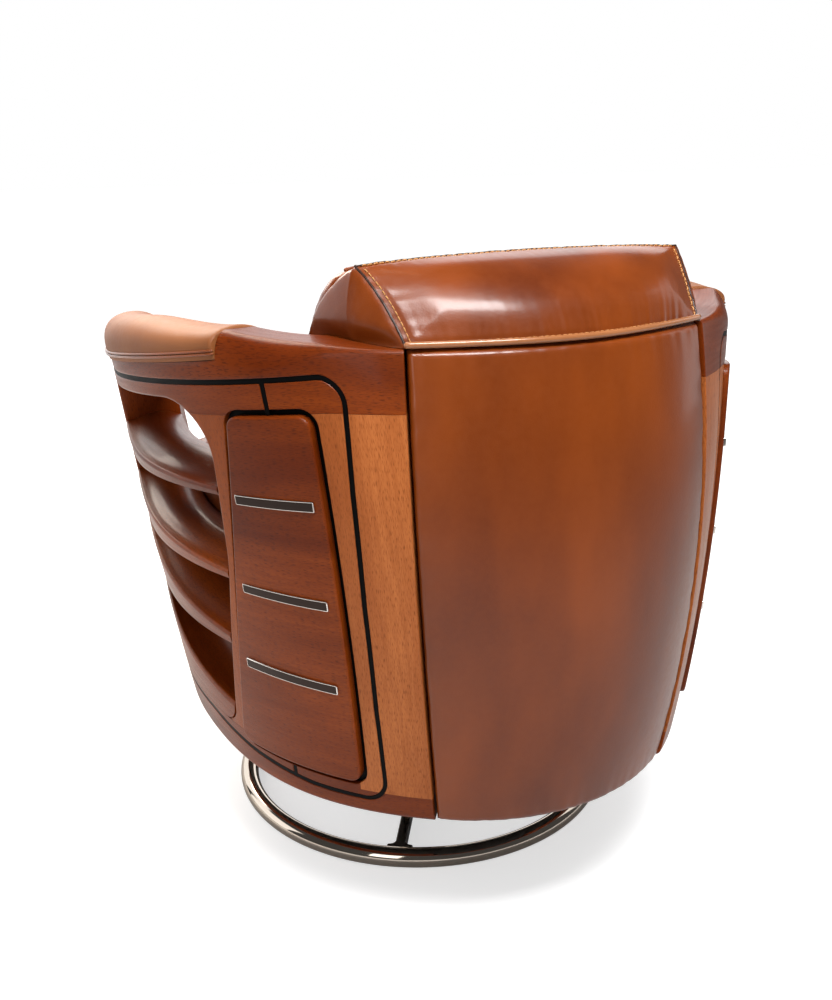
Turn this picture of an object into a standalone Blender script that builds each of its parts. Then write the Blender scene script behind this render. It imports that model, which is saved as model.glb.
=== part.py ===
"""Swivel club chair: a wood and leather tub on a chrome ring base.

Metres, +Z up. The origin is on the floor, under the swivel axis. The sitter faces -Y,
so the upholstered back is at +Y and the sitter's left arm is at +X.

The wooden sides are drawn flat and then bent round the tub. A flat solid has three
coordinates: u runs round the tub, depth runs inwards from its skin, and z is the height.
"""
import math

import bmesh
import bpy

# The tub: an ellipse in plan, whose half-axes change with the height
HEIGHT_BOTTOM = 0.154
HEIGHT_MIDDLE = 0.417
HEIGHT_TOP = 0.680
HALF_WIDTH = (0.311, 0.354, 0.387)      # at the bottom, the middle and the top
HALF_DEPTH = (0.406, 0.432, 0.399)
FRONT_FULLNESS = (0.045, 0.080, 0.125)  # how much squarer the plan is towards the front
BACK_FULLNESS = 0.006
SIDE_FULLNESS = (0.022, -0.010, 0.012)  # and behind the middle of each side
SIDE_REACH = 60.0                       # angle where that ends
SKIN_RADIUS = 0.39                      # u is this radius times the plan angle

# The arm's pieces converge towards the front, and its top is arched
FALL_FROM = 50.0                        # angle where the convergence begins
FALL_RATE = 0.00076                     # drop for each degree, at the top
FALL_FOOT, FALL_HEAD = 0.360, 0.650     # heights between which that drop grows
ARCH_HIGH = 0.0245
ARCH_FOOT = 0.660
ARCH_FROM, ARCH_TO = 62.0, 33.5         # angles between which the arm's top climbs
ARCH_POWER = 1.9                        # how late it climbs
BEND_STEP = math.radians(5.0)           # the bent solids have an edge at each step
LIFT_STEP = 0.0438                      # and at each of these heights
GAP = 0.0003                            # between pieces that touch
END_GAP = 0.0010                        # where a bent end meets a bent face

# The wooden arm, angles in degrees from the sitter's left, positive towards the back
ARM_FRONT = -42.0
POST_BACK = -24.0                       # rear face of the front post
UNDER_OPENING = 12.0                    # angle in the opening, for solids that it cuts
BACK_JOINT = (60.6, 59.8, 62.5)         # at the bottom, the middle and the top
ARM_THICK = 0.075
RAIL_UNDER = 0.622
RAIL_TOP = 0.684
RAIL_ROUND = (0.022, 0.020)             # radius of its outer and inner top edges
BAND_TOP = 0.1865
SHELF_BED = 0.205
STILE_THICK = 0.045
STILE_LAP = 0.004                       # how far the uprights run under the panel's outline
JOINT_GAP = 0.0015                      # between the wood and the leather back
BEYOND_JOINT = 80.0                     # an angle behind that joint, for solids cut off there
THROUGH = (-0.02, 0.095)                # depths that a cutter needs to pass through the arm
BELOW_ALL, HALF_WAY, ABOVE_ALL = 0.10, 0.40, 0.80  # heights for cutters to start and end at
PAD_BACK = 32.5                         # outer end of the arm pad's joint with the wood
PAD_SLANT = 0.65                        # how much further back the joint is for each depth
PAD_SEAT = 0.672
PAD_TOP = 0.693
PAD_LOWER = 0.24                        # how much of its height the pad loses by its joint
PAD_PROUD = 0.005

# The shelves in the arm's outer face
SHELF_LIPS = (0.536, 0.428, 0.335, 0.228)
SHELF_RISES = (0.029, 0.052, 0.074, 0.080)  # how much each one climbs to the front post
RISE_INSIDE = 0.55                      # share of that climb at its inner edge
SHELF_REAR = 40.0                       # angle where the shelves' climb starts
OPENING_EDGE = ((0.205, 17.3), (0.440, 25.2), (0.638, 27.9))  # heights and angles of its rear edge
OPENING_ROUND = (0.030, 0.30, 0.068)    # and its corner radii there

# The raised panel behind the shelves
PANEL_FOOT = 0.199
PANEL_HEAD = 0.6215
PANEL_FRONT_FOOT = 20.9
PANEL_FRONT_HEAD = 32.9
PANEL_REAR = 47.2
PANEL_PROUD = 0.006
PANEL_THICK = 0.012
PANEL_BED_THICK = 0.012
PANEL_GAP = 0.005
PANEL_CORNER = 0.014
STRIP_LINES = ((0.528, 31.7, 45.9), (0.418, 29.4, 45.6), (0.318, 26.9, 45.2))
STRIP_HIGH = 0.0115
STRIP_THICK = 0.0025

# The black line let into the wood
LINE_WIDE = 0.004
LINE_DEEP = 0.0035
LINE_SUNK = 0.0008
LINE_TOP = 0.6575
LINE_FOOT = 0.176
LINE_BACK_AT = (0.30, 0.42, 0.54)       # heights where its rear part bends
LINE_CLIMB = ((8.0, 0.1975), (22.0, 0.1850), (37.0, 0.1765))  # its foot, towards the back
LINE_BACK = (51.6, 51.1, 53.2)          # at the bottom, the middle and the top
LINE_CORNER = 0.026
LINE_START = 0.022                      # distance from the arm's nose
TICK_TOP = 40.2
TICK_FOOT = 33.0

# The upholstery
BACK_THICK = 0.032
FRAME_THICK = 0.018                     # the bent plywood behind it
SKIN_SOFT = 0.006                       # how round the leather edges are
BORDER_TOP = 0.322
BORDER_DEEP = 0.003                     # how far the front border lies behind the skin
BORDER_END = 48.0                       # angle where the front border meets the arms
SEAT_DECK = 0.330
SEAT_EDGE = 0.432                       # height of the seat cushion's top seam
SEAT_CROWN = 0.030
SEAT_BACK = 0.130                       # y of its rear edge
SEAT_CENTRE_Y = -0.13
SEAT_SPREAD = 1.035                     # how much wider the seam is than the foot
SEAT_SET_IN = 0.0106                    # so that the seam's front is as far out as the back
INNER_FACE = 0.0765                     # depth of the leather inside the arm
INNER_ARM_THICK = 0.021
INNER_ARM_TOP = 0.532
INNER_ARM_RISE = (27.0, 36.0)           # angles between which its top edge climbs
INNER_ARM_HIGH = 0.655
INNER_ARM_BACK = 37.5
BACK_BOARD_Y = 0.2280
BACK_BOARD_THICK = 0.012
BACK_BOARD_HALF = 0.195
BACK_CUSHION_TOP = 0.750
BACK_CUSHION_LEAN = 0.10                # how its top leans back with the headrest
LEAN_FROM = 0.686
BACK_CUSHION_Y = (0.157, 0.122, 0.182)  # front face at the seat, the waist and the top
HEADREST_FOOT = 0.6845
HEADREST_EDGE = 0.760                   # its stitched top edge, at the corners
HEADREST_HALF = 0.174                   # half its width at the back, at its foot
HEADREST_BACK = 0.360                   # y there
HEADREST_SPREAD = 0.434                  # how its sides spread towards the front
HEADREST_RISE = 0.005                   # how much higher that edge is in the middle
HEADREST_EDGE_Y = 0.281                 # y of that edge, at the corners
HEADREST_HOLLOW = 0.004                 # how much further forward it is in the middle
HEADREST_SLOPE = 0.030                  # how far in its rear face's shoulder is, and how low
HEADREST_SHOULDER = 0.014
HEADREST_TAPER = 0.14                   # how its sides come in with the height
GUSSET_PUFF = ((0.90, 0.0050), (0.62, 0.0080), (0.25, 0.0095))  # how its ends swell: scale and width
GUSSET_FOOT = 0.022                     # height over which that starts

# The base
RING_RADIUS = 0.25
TUBE_RADIUS = 0.0125
TURNED_SIDES = 24
SPOKE_WIDE = 0.013
SPOKE_FLARE = 0.010
SPOKE_FOOT, SPOKE_HEAD = 0.004, 0.0225
SPOKE_TURN = 57.5
HUB_RADIUS = 0.055
COLUMN_RADIUS = 0.030
COLUMN_TOP = 0.1367
PLATE_HALF = 0.105
PLATE_THICK = 0.005
RACE_RADIUS = (0.045, 0.062)
RACE_HIGH = 0.0094
BASE_BOARD_THICK = 0.018
BOLT_AT = 0.080
BOLT_RADIUS = 0.004
BOLT_HEAD = (0.0068, 0.004)             # radius and height
BOLT_LONG = 0.018

LEFT, RIGHT = 1, -1
SIDES = (("left", LEFT), ("right", RIGHT))


for old in list(bpy.data.objects):
    bpy.data.objects.remove(old)


# Materials

def finish(name, colour, roughness, metallic=0.0):
    """A plain Principled material."""
    material = bpy.data.materials.new(name)
    material.use_nodes = True
    shader = material.node_tree.nodes["Principled BSDF"]
    shader.inputs["Base Color"].default_value = (*colour, 1.0)
    shader.inputs["Roughness"].default_value = roughness
    shader.inputs["Metallic"].default_value = metallic
    return material


FINISHES = {
    "mahogany": finish("mahogany", (0.24, 0.070, 0.025), 0.32),
    "stile_wood": finish("stile_wood", (0.36, 0.130, 0.040), 0.35),
    "leather": finish("leather", (0.30, 0.085, 0.025), 0.36),
    "chrome": finish("chrome", (0.75, 0.74, 0.72), 0.08, 1.0),
    "black_line": finish("black_line", (0.006, 0.006, 0.006), 0.35),
    "plywood": finish("plywood", (0.50, 0.36, 0.20), 0.60),
    "steel": finish("steel", (0.30, 0.30, 0.31), 0.35, 1.0),
}

# Heights that follow one another up the swivel
LOWER_PLATE = COLUMN_TOP + GAP
RACE_FOOT = LOWER_PLATE + PLATE_THICK + GAP
UPPER_PLATE = RACE_FOOT + RACE_HIGH + GAP
BOARD_FOOT = UPPER_PLATE + PLATE_THICK + GAP
BOARD_TOP = BOARD_FOOT + BASE_BOARD_THICK


# The tub's skin

def through_three(values, z):
    """A parabola through the values at the bottom, middle and top heights."""
    low, mid, high = values
    s = (z - HEIGHT_MIDDLE) / (HEIGHT_TOP - HEIGHT_MIDDLE)
    return mid + 0.5 * (high - low) * s + 0.5 * (high + low - 2 * mid) * s * s


def smooth_step(x):
    """A smooth rise as x goes from 0 to 1."""
    return x * x * (3 - 2 * x)


def between(value, low, high):
    """How far a value is from low to high, held to the range 0 to 1."""
    return min(max((value - low) / (high - low), 0.0), 1.0)


def along(degrees):
    """The distance round the skin for a plan angle."""
    return SKIN_RADIUS * math.radians(degrees)


def skin_point(angle, z):
    """A point of the tub's outer skin in plan: an ellipse with fuller corners."""
    corner = math.sin(2 * angle) ** 2
    if math.sin(angle) < 0:
        fullness = 1 + through_three(FRONT_FULLNESS, z) * corner ** 2
    else:
        fullness = 1 + BACK_FULLNESS * corner
    if 0 < math.degrees(angle) < SIDE_REACH:
        swell = math.sin(math.pi * math.degrees(angle) / SIDE_REACH) ** 2
        fullness += through_three(SIDE_FULLNESS, z) * swell
    return (through_three(HALF_WIDTH, z) * math.cos(angle) * fullness,
            through_three(HALF_DEPTH, z) * math.sin(angle) * fullness)


def lifted(degrees, z):
    """The height in the chair of a flat solid's height."""
    climb = between(degrees, ARCH_FROM, ARCH_TO) ** ARCH_POWER
    arch = ARCH_HIGH * climb * max(z - ARCH_FOOT, 0.0) / (RAIL_TOP - ARCH_FOOT)
    fall = FALL_RATE * max(FALL_FROM - degrees, 0.0) * between(z, FALL_FOOT, FALL_HEAD)
    return z + arch - fall


def on_barrel(u, depth, z):
    """The place in the chair of a point of a flat solid."""
    angle = u / SKIN_RADIUS
    z = lifted(math.degrees(angle), z)
    x, y = skin_point(angle, z)
    ahead, behind = skin_point(angle + 1e-4, z), skin_point(angle - 1e-4, z)
    along_x, along_y = ahead[0] - behind[0], ahead[1] - behind[1]
    length = math.hypot(along_x, along_y)
    return x - depth * along_y / length, y + depth * along_x / length, z


# Outlines

def circle(radius, sides):
    """The corners of a regular outline round the origin."""
    turns = [math.tau * k / sides for k in range(sides)]
    return [(radius * math.cos(turn), radius * math.sin(turn)) for turn in turns]


def rounded(corners, steps=4):
    """A closed outline: each corner is (x, y, radius)."""
    outline = []
    count = len(corners)
    for i, (x, y, radius) in enumerate(corners):
        if radius == 0:
            outline.append((x, y))
            continue
        before, after = corners[i - 1], corners[(i + 1) % count]
        to_before = (before[0] - x, before[1] - y)
        to_after = (after[0] - x, after[1] - y)
        len_before, len_after = math.hypot(*to_before), math.hypot(*to_after)
        way_in = (to_before[0] / len_before, to_before[1] / len_before)
        way_out = (to_after[0] / len_after, to_after[1] / len_after)
        half = 0.5 * math.acos(way_in[0] * way_out[0] + way_in[1] * way_out[1])
        reach = radius / math.tan(half)
        start = (x + way_in[0] * reach, y + way_in[1] * reach)
        end = (x + way_out[0] * reach, y + way_out[1] * reach)
        to_centre = radius / math.sin(half)
        middle = (way_in[0] + way_out[0], way_in[1] + way_out[1])
        middle_length = math.hypot(*middle)
        centre = (x + middle[0] / middle_length * to_centre,
                  y + middle[1] / middle_length * to_centre)
        first = math.atan2(start[1] - centre[1], start[0] - centre[0])
        turn = math.atan2(end[1] - centre[1], end[0] - centre[0]) - first
        turn = (turn + math.pi) % (2 * math.pi) - math.pi
        for k in range(steps + 1):
            angle = first + turn * k / steps
            outline.append((centre[0] + radius * math.cos(angle),
                            centre[1] + radius * math.sin(angle)))
    return outline


def opening_outline(grow=0.0):
    """The shelf opening in u and z, its rear edge leaning back to a round top corner."""
    (low, foot), (bend_z, bend_angle), (high, head) = OPENING_EDGE
    front = along(POST_BACK) - grow
    foot_round, bend_round, head_round = OPENING_ROUND
    return rounded([(front, low - grow, 0), (along(foot) + grow, low - grow, foot_round),
                    (along(bend_angle) + grow, bend_z, bend_round),
                    (along(head) + grow, high + grow, head_round), (front, high + grow, 0)], steps=5)


def panel_outline(grow=0.0):
    """The raised panel in u and z: narrower at its top, with round corners."""
    low, high = PANEL_FOOT - grow, PANEL_HEAD + grow
    return rounded([(along(PANEL_FRONT_FOOT) - grow, low, PANEL_CORNER + grow),
                    (along(PANEL_REAR) + grow, low, PANEL_CORNER + grow),
                    (along(PANEL_REAR) + grow, high, PANEL_CORNER + grow),
                    (along(PANEL_FRONT_HEAD) - grow, high, PANEL_CORNER + grow)])


# Solids

PLANES = {"uz": (0, 2, 1), "dz": (1, 2, 0), "ud": (0, 1, 2), "xy": (0, 1, 2), "yz": (1, 2, 0)}


def add_object(name, bm, slot=None):
    """A named object from a mesh that is closed and faces outwards."""
    bmesh.ops.recalc_face_normals(bm, faces=bm.faces)
    if bm.calc_volume(signed=True) < 0:
        bmesh.ops.reverse_faces(bm, faces=bm.faces)
    mesh = bpy.data.meshes.new(name)
    bm.to_mesh(mesh)
    bm.free()
    piece = bpy.data.objects.new(name, mesh)
    bpy.context.scene.collection.objects.link(piece)
    if slot:
        mesh.materials.append(FINISHES[slot])
        mesh.shade_smooth()
        mesh.set_sharp_from_angle(angle=math.radians(35))
    return piece


def loft_mesh(rings):
    """A closed mesh through rings of equal count, with flat ends."""
    bm = bmesh.new()
    rows = [[bm.verts.new(point) for point in ring] for ring in rings]
    count = len(rows[0])
    for low, high in zip(rows, rows[1:]):
        for k in range(count):
            bm.faces.new((low[k - 1], low[k], high[k], high[k - 1]))
    bm.faces.new(rows[0])
    bm.faces.new(rows[-1])
    return bm


def prism(outline, start, end, plane):
    """An outline pushed out along the axis that its plane leaves free."""
    first, second, third = PLANES[plane]
    rings = []
    for level in (start, end):
        ring = []
        for a, b in outline:
            point = [0.0, 0.0, 0.0]
            point[first], point[second], point[third] = a, b, level
            ring.append(tuple(point))
        rings.append(ring)
    return add_object("flat", loft_mesh(rings))


def combine(solid, tool, operation="DIFFERENCE"):
    """Apply one exact boolean and throw the tool away."""
    modifier = solid.modifiers.new("combine", "BOOLEAN")
    modifier.operation = operation
    modifier.solver = "EXACT"
    modifier.object = tool
    bpy.context.view_layer.update()
    graph = bpy.context.evaluated_depsgraph_get()
    solid_mesh = bpy.data.meshes.new_from_object(solid.evaluated_get(graph))
    solid.modifiers.clear()
    solid.data = solid_mesh
    bpy.data.objects.remove(tool)
    return solid


def bend(flat, name, side, slot, lift_step=LIFT_STEP):
    """Bend a flat solid round one side of the tub and give it its name."""
    bm = bmesh.new()
    bm.from_mesh(flat.data)
    bpy.data.objects.remove(flat)
    bmesh.ops.dissolve_limit(bm, angle_limit=math.radians(0.5), verts=bm.verts, edges=bm.edges)
    step = SKIN_RADIUS * BEND_STEP
    low = min(v.co.x for v in bm.verts)
    high = max(v.co.x for v in bm.verts)
    turns = range(math.ceil(low / step), math.ceil(high / step))
    cuts = [((k * step, 0, 0), (1, 0, 0)) for k in turns]
    low = min(v.co.z for v in bm.verts)
    high = max(v.co.z for v in bm.verts)
    levels = range(1, int((HEIGHT_TOP - HEIGHT_BOTTOM) / lift_step) + 1)
    heights = [HEIGHT_BOTTOM + k * lift_step for k in levels]
    cuts += [((0, 0, z), (0, 0, 1)) for z in heights if low + 0.004 < z < high - 0.004]
    for place, normal in cuts:
        everything = bm.verts[:] + bm.edges[:] + bm.faces[:]
        bmesh.ops.bisect_plane(bm, geom=everything, dist=1e-5, plane_co=place, plane_no=normal)
    bmesh.ops.triangulate(bm, faces=bm.faces)
    for v in bm.verts:
        x, y, z = on_barrel(*v.co)
        v.co = (side * x, y, z)
    return add_object(name, bm, slot)


# The wooden sides

def nose_cutter(low, high):
    """What is cut off an arm's front end to leave it round in plan."""
    front = along(ARM_FRONT)
    radius = 0.5 * ARM_THICK
    round_end = [(front + radius - radius * math.sin(a), radius - radius * math.cos(a))
                 for a in (math.pi * k / 8 for k in range(9))]
    outline = [(front + radius, -0.02), (front - 0.02, -0.02), (front - 0.02, ARM_THICK + 0.02),
               (front + radius, ARM_THICK + 0.02)] + round_end[::-1]
    return prism(outline, low, high, "ud")


def joint_block(low, high):
    """Everything behind the joint with the leather back, as a cutter."""
    steps = round((high - low) / LIFT_STEP)
    heights = [low + (high - low) * k / steps for k in range(steps + 1)]
    edge = [(along(through_three(BACK_JOINT, z)) - JOINT_GAP, z) for z in heights]
    return prism(edge + [(along(BEYOND_JOINT), high), (along(BEYOND_JOINT), low)], *THROUGH, "uz")


def rail_section():
    """The arm rail in depth and z, rounded over at both top edges."""
    outer_round, inner_round = RAIL_ROUND
    return rounded([(0, RAIL_UNDER + GAP, 0), (0, RAIL_TOP, outer_round),
                    (ARM_THICK, RAIL_TOP, inner_round), (ARM_THICK, RAIL_UNDER + GAP, 0)], steps=5)


def line_edge(shift):
    """One edge of the black line, from the front of its foot round to the front of its top."""
    front = along(ARM_FRONT) + LINE_START
    foot = [(along(angle), z - shift, 0) for angle, z in LINE_CLIMB]
    back = [(along(through_three(LINE_BACK, z)) + shift, z, 0) for z in LINE_BACK_AT]
    low_corner, high_corner = [(along(through_three(LINE_BACK, z)) + shift, z + way * shift,
                                LINE_CORNER + shift) for z, way in ((LINE_FOOT, -1), (LINE_TOP, 1))]
    return rounded([(front, foot[0][1], 0)] + foot + [low_corner] + back + [high_corner]
                   + [(front, LINE_TOP + shift, 0)])


def line_solid(start, end, half):
    """The black line and its two ticks as a solid, or as the cutter for their groove."""
    solid = prism(line_edge(half) + line_edge(-half)[::-1], start, end, "uz")
    for angle, low, high in ((TICK_TOP, RAIL_UNDER + 2 * GAP, LINE_TOP),
                             (TICK_FOOT, LINE_FOOT, BAND_TOP - GAP)):
        tick = prism([(along(angle) - half, low), (along(angle) + half, low),
                      (along(angle) + half, high), (along(angle) - half, high)], start, end, "uz")
        combine(solid, tick, "UNION")
    return solid


def groove():
    """The cutter for the black line's groove."""
    return line_solid(-0.01, LINE_DEEP + GAP, 0.5 * LINE_WIDE)


def shelf_section(lip):
    """A shelf in depth and z, and how many of its points are on top: a round lip, then a slow rise."""
    top = [(0.0, lip - 0.006), (0.0015, lip - 0.0015), (0.005, lip), (0.012, lip + 0.003),
           (0.026, lip + 0.012), (0.042, lip + 0.019), (0.058, lip + 0.021), (0.0735, lip + 0.017),
           (ARM_THICK, lip + 0.014)]
    under = [(ARM_THICK, lip + 0.006), (0.058, lip + 0.009), (0.040, lip + 0.006),
             (0.022, lip - 0.004), (0.008, lip - 0.010), (0.002, lip - 0.010)]
    return top + under, len(top)


def scoop_section():
    """The bottom shelf in the same way: a hollow that starts at the skin."""
    lip = SHELF_LIPS[-1]
    top = [(0.0, lip - 0.006), (0.003, lip), (0.012, lip - 0.002), (0.030, lip - 0.002),
           (0.048, lip + 0.006), (0.062, lip + 0.024), (0.071, lip + 0.052), (ARM_THICK, lip + 0.060)]
    return top + [(ARM_THICK, SHELF_BED + GAP), (0.0, SHELF_BED + GAP)], len(top)


def arm_rail(label, side):
    """The rail along the top of an arm, notched for its pad."""
    front = along(ARM_FRONT)
    rail = prism(rail_section(), front, along(BEYOND_JOINT), "dz")
    combine(rail, nose_cutter(HALF_WAY, ABOVE_ALL))
    notch = [(along(PAD_BACK) + PAD_SLANT * depth, depth) for depth in THROUGH]
    notch += [(front - 0.01, depth) for depth in reversed(THROUGH)]
    combine(rail, prism(notch, PAD_SEAT, ABOVE_ALL, "ud"))
    combine(rail, joint_block(HALF_WAY, ABOVE_ALL))
    combine(rail, prism(opening_outline(0.5 * GAP), *THROUGH, "uz"))
    combine(rail, prism(panel_outline(PANEL_GAP), *THROUGH, "uz"))
    combine(rail, groove())
    combine(bend(rail, f"arm_rail_{label}", side, "mahogany"), headrest_seat(side))


def headrest_seat(side):
    """What is cut off an arm rail's inner corner so that the headrest stands on it."""
    front, rear = BACK_BOARD_Y - END_GAP, HEADREST_BACK + 0.02
    outline = [(0.05, front), (headrest_half(front) + 2 * END_GAP, front),
               (headrest_half(rear) + 2 * END_GAP, rear), (0.05, rear)]
    return prism([(side * x, y) for x, y in outline], HEADREST_FOOT - END_GAP, ABOVE_ALL, "xy")


def headrest_half(y):
    """Half the headrest's width at its foot."""
    return HEADREST_HALF + HEADREST_SPREAD * (HEADREST_BACK - y)


def headrest_side(y, z):
    """Half the headrest's width at a point of its end."""
    return headrest_half(y) - HEADREST_TAPER * (z - HEADREST_FOOT)


def bottom_band(label, side):
    """The band along the foot of an arm, under its shelves and its panel."""
    front, rear = along(ARM_FRONT), along(BEYOND_JOINT)
    step = along(PANEL_REAR) - STILE_LAP - GAP
    band = prism([(front, HEIGHT_BOTTOM), (rear, HEIGHT_BOTTOM), (rear, BAND_TOP), (step, BAND_TOP),
                  (step, SHELF_BED - GAP), (front, SHELF_BED - GAP)], 0, ARM_THICK, "uz")
    combine(band, prism(panel_outline(PANEL_GAP), *THROUGH, "uz"))
    combine(band, nose_cutter(BELOW_ALL, HALF_WAY))
    combine(band, joint_block(BELOW_ALL, HALF_WAY))
    combine(band, groove())
    bend(band, f"bottom_rail_{label}", side, "mahogany")


def posts(label, side):
    """The three uprights: in front of the shelves, behind them and beside the leather back."""
    front, low, high = along(ARM_FRONT), SHELF_BED + GAP, RAIL_UNDER - GAP
    post = prism([(front, low), (along(POST_BACK), low), (along(POST_BACK), high), (front, high)],
                 0, ARM_THICK, "uz")
    combine(post, nose_cutter(BELOW_ALL, ABOVE_ALL))
    bend(post, f"front_post_{label}", side, "mahogany")

    foot, head = along(PANEL_FRONT_FOOT) + STILE_LAP, along(PANEL_FRONT_HEAD) + STILE_LAP
    near = along(UNDER_OPENING)
    middle = prism([(near, low), (foot, low), (head, high), (near, high)], 0, ARM_THICK, "uz")
    combine(middle, prism(opening_outline(0.5 * GAP), *THROUGH, "uz"))
    combine(middle, prism(panel_outline(PANEL_GAP), *THROUGH, "uz"))
    bend(middle, f"middle_post_{label}", side, "stile_wood")

    edge, rear, low = along(PANEL_REAR) - STILE_LAP, along(BEYOND_JOINT), BAND_TOP + GAP
    stile = prism([(edge, low), (rear, low), (rear, high), (edge, high)], 0, STILE_THICK, "uz")
    combine(stile, prism(panel_outline(PANEL_GAP), *THROUGH, "uz"))
    combine(stile, joint_block(BELOW_ALL, ABOVE_ALL))
    combine(stile, groove())
    bend(stile, f"rear_stile_{label}", side, "stile_wood")


def rising(section, tops, angle, climb):
    """A shelf's section at an angle, its top lifted towards the front post."""
    ahead = between(angle, SHELF_REAR, POST_BACK) ** 2
    ring = []
    for k, (depth, z) in enumerate(section):
        share = 1 - (1 - RISE_INSIDE) * depth / ARM_THICK
        ring.append((along(angle), depth, z + (climb * ahead * share if k < tops else 0.0)))
    return ring


def shelves(label, side):
    """The three shelves and the hollow at the foot of the opening."""
    step = math.degrees(BEND_STEP)
    angles = [POST_BACK] + [step * k
                            for k in range(math.ceil(POST_BACK / step), round(SHELF_REAR / step) + 1)]
    for number, (lip, climb) in enumerate(zip(SHELF_LIPS, SHELF_RISES), start=1):
        section, tops = scoop_section() if number == len(SHELF_LIPS) else shelf_section(lip)
        rings = [rising(section, tops, angle, climb) for angle in angles]
        shelf = add_object("flat", loft_mesh(rings))
        combine(shelf, prism(opening_outline(-END_GAP), *THROUGH, "uz"), "INTERSECT")
        bend(shelf, f"shelf_{number}_{label}", side, "mahogany", lift_step=1.0)


def raised_panel(label, side):
    """The panel behind the shelves, its black bed and its three bright strips."""
    bed = prism(panel_outline(PANEL_GAP - END_GAP), PANEL_THICK - PANEL_PROUD + GAP,
                PANEL_THICK - PANEL_PROUD + PANEL_BED_THICK, "uz")
    bend(bed, f"panel_bed_{label}", side, "black_line")
    panel = prism(panel_outline(), -PANEL_PROUD, PANEL_THICK - PANEL_PROUD, "uz")
    bend(panel, f"side_panel_{label}", side, "mahogany")

    half = 0.5 * STRIP_HIGH
    for number, (z, start, end) in enumerate(STRIP_LINES, start=1):
        outline = [(along(start), z - half), (along(end), z - half), (along(end), z + half),
                   (along(start), z + half)]
        strip = prism(outline, -PANEL_PROUD - GAP - STRIP_THICK, -PANEL_PROUD - GAP, "uz")
        bend(strip, f"chrome_strip_{number}_{label}", side, "chrome")


def black_line(label, side):
    """The black line set in its groove, a hair below the skin."""
    line = line_solid(LINE_SUNK, LINE_DEEP, 0.5 * LINE_WIDE - GAP)
    bend(line, f"black_line_{label}", side, "black_line")


# The upholstered arms

def pad_ring(u, width, height, slant=0.0):
    """One section of the arm pad: flat below, crowned above."""
    middle = 0.5 * ARM_THICK
    half = (middle + PAD_PROUD) * width
    foot = PAD_SEAT + GAP
    top = foot + (PAD_TOP - foot) * height
    ring = [(u, middle + 0.96 * half, foot), (u, middle - 0.96 * half, foot)]
    shoulder = foot + 0.3 * (top - foot)
    for k in range(11):
        angle = math.pi * k / 10
        rise = (top - shoulder) * math.sin(angle) ** 0.7
        ring.append((u, middle - half * math.cos(angle), shoulder + rise))
    return [(u + slant * depth, depth, z) for u, depth, z in ring]


def arm_pad(label, side):
    """The leather pad on the front of the arm, round at its nose."""
    nose = 0.5 * ARM_THICK + PAD_PROUD
    front, back = along(ARM_FRONT) - PAD_PROUD, along(PAD_BACK) - END_GAP
    rings = []
    for k in range(1, 5):
        lean = math.radians(90) * k / 5
        width = math.sin(lean)
        rings.append(pad_ring(front + nose * (1 - math.cos(lean)), width, 0.45 + 0.55 * width))
    step = SKIN_RADIUS * BEND_STEP
    first = math.ceil((front + nose) / step)
    last = math.ceil(back / step)
    stations = [front + nose] + [k * step for k in range(first, last)
                                 if front + nose + 0.004 < k * step < back - 0.02]
    for u in stations:
        rings.append(pad_ring(u, 1, 1 - PAD_LOWER * smooth_step(between(u, along(12), back))))
    rings.append(pad_ring(back - 0.004, 1, 1 - PAD_LOWER, PAD_SLANT))
    rings.append(pad_ring(back, 0.97, 0.9 - PAD_LOWER, PAD_SLANT))
    flat = add_object("flat", loft_mesh(rings))
    bend(flat, f"arm_pad_{label}", side, "leather", lift_step=1.0)


def inner_arm(label, side):
    """The leather inside the arm: low beside the shelves, rising to meet the back."""
    step = SKIN_RADIUS * BEND_STEP
    front, back = along(ARM_FRONT) + 0.030, along(INNER_ARM_BACK)
    rise_from, rise_to = (along(angle) for angle in INNER_ARM_RISE)
    stations = [front] + [k * step for k in range(math.ceil(front / step), math.ceil(back / step))]
    stations += [back, rise_from, 0.5 * (rise_from + rise_to), rise_to]
    rings = []
    near, far = INNER_FACE, INNER_FACE + INNER_ARM_THICK
    for u in sorted(set(stations)):
        climb = smooth_step(between(u, rise_from, rise_to))
        top = INNER_ARM_TOP + (INNER_ARM_HIGH - INNER_ARM_TOP) * climb
        rings.append([(u, near, BOARD_TOP + GAP), (u, near, top - 0.004), (u, near + 0.004, top),
                      (u, far - 0.008, top), (u, far - 0.002, top - 0.006), (u, far, top - 0.016),
                      (u, far, BOARD_TOP + GAP)])
    bend(add_object("flat", loft_mesh(rings)), f"inner_arm_{label}", side, "leather",
         lift_step=2 * LIFT_STEP)


# The back, the front and what is inside

def soften(flat, width):
    """Round the edges of a flat panel's outer face."""
    bm = bmesh.new()
    bm.from_mesh(flat.data)
    outside = min(v.co.y for v in bm.verts)
    edges = [e for e in bm.edges if all(abs(v.co.y - outside) < 1e-5 for v in e.verts)]
    bmesh.ops.bevel(bm, geom=edges, offset=width, segments=2, profile=0.5, affect="EDGES")
    bm.to_mesh(flat.data)
    bm.free()
    return flat


def bent_sheet(name, slot, near, thick, angles, low, high, soft=0.0):
    """A panel bent across the tub's back or front, between two functions of the height."""
    steps = 6
    heights = [low + (high - low) * k / steps for k in range(steps + 1)]
    outline = [(along(angles(z)[0]), z) for z in heights]
    outline += [(along(angles(z)[1]), z) for z in reversed(heights)]
    flat = prism(outline, near, near + thick, "uz")
    if soft:
        soften(flat, soft)
    bend(flat, name, LEFT, slot, lift_step=2 * LIFT_STEP)


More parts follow.
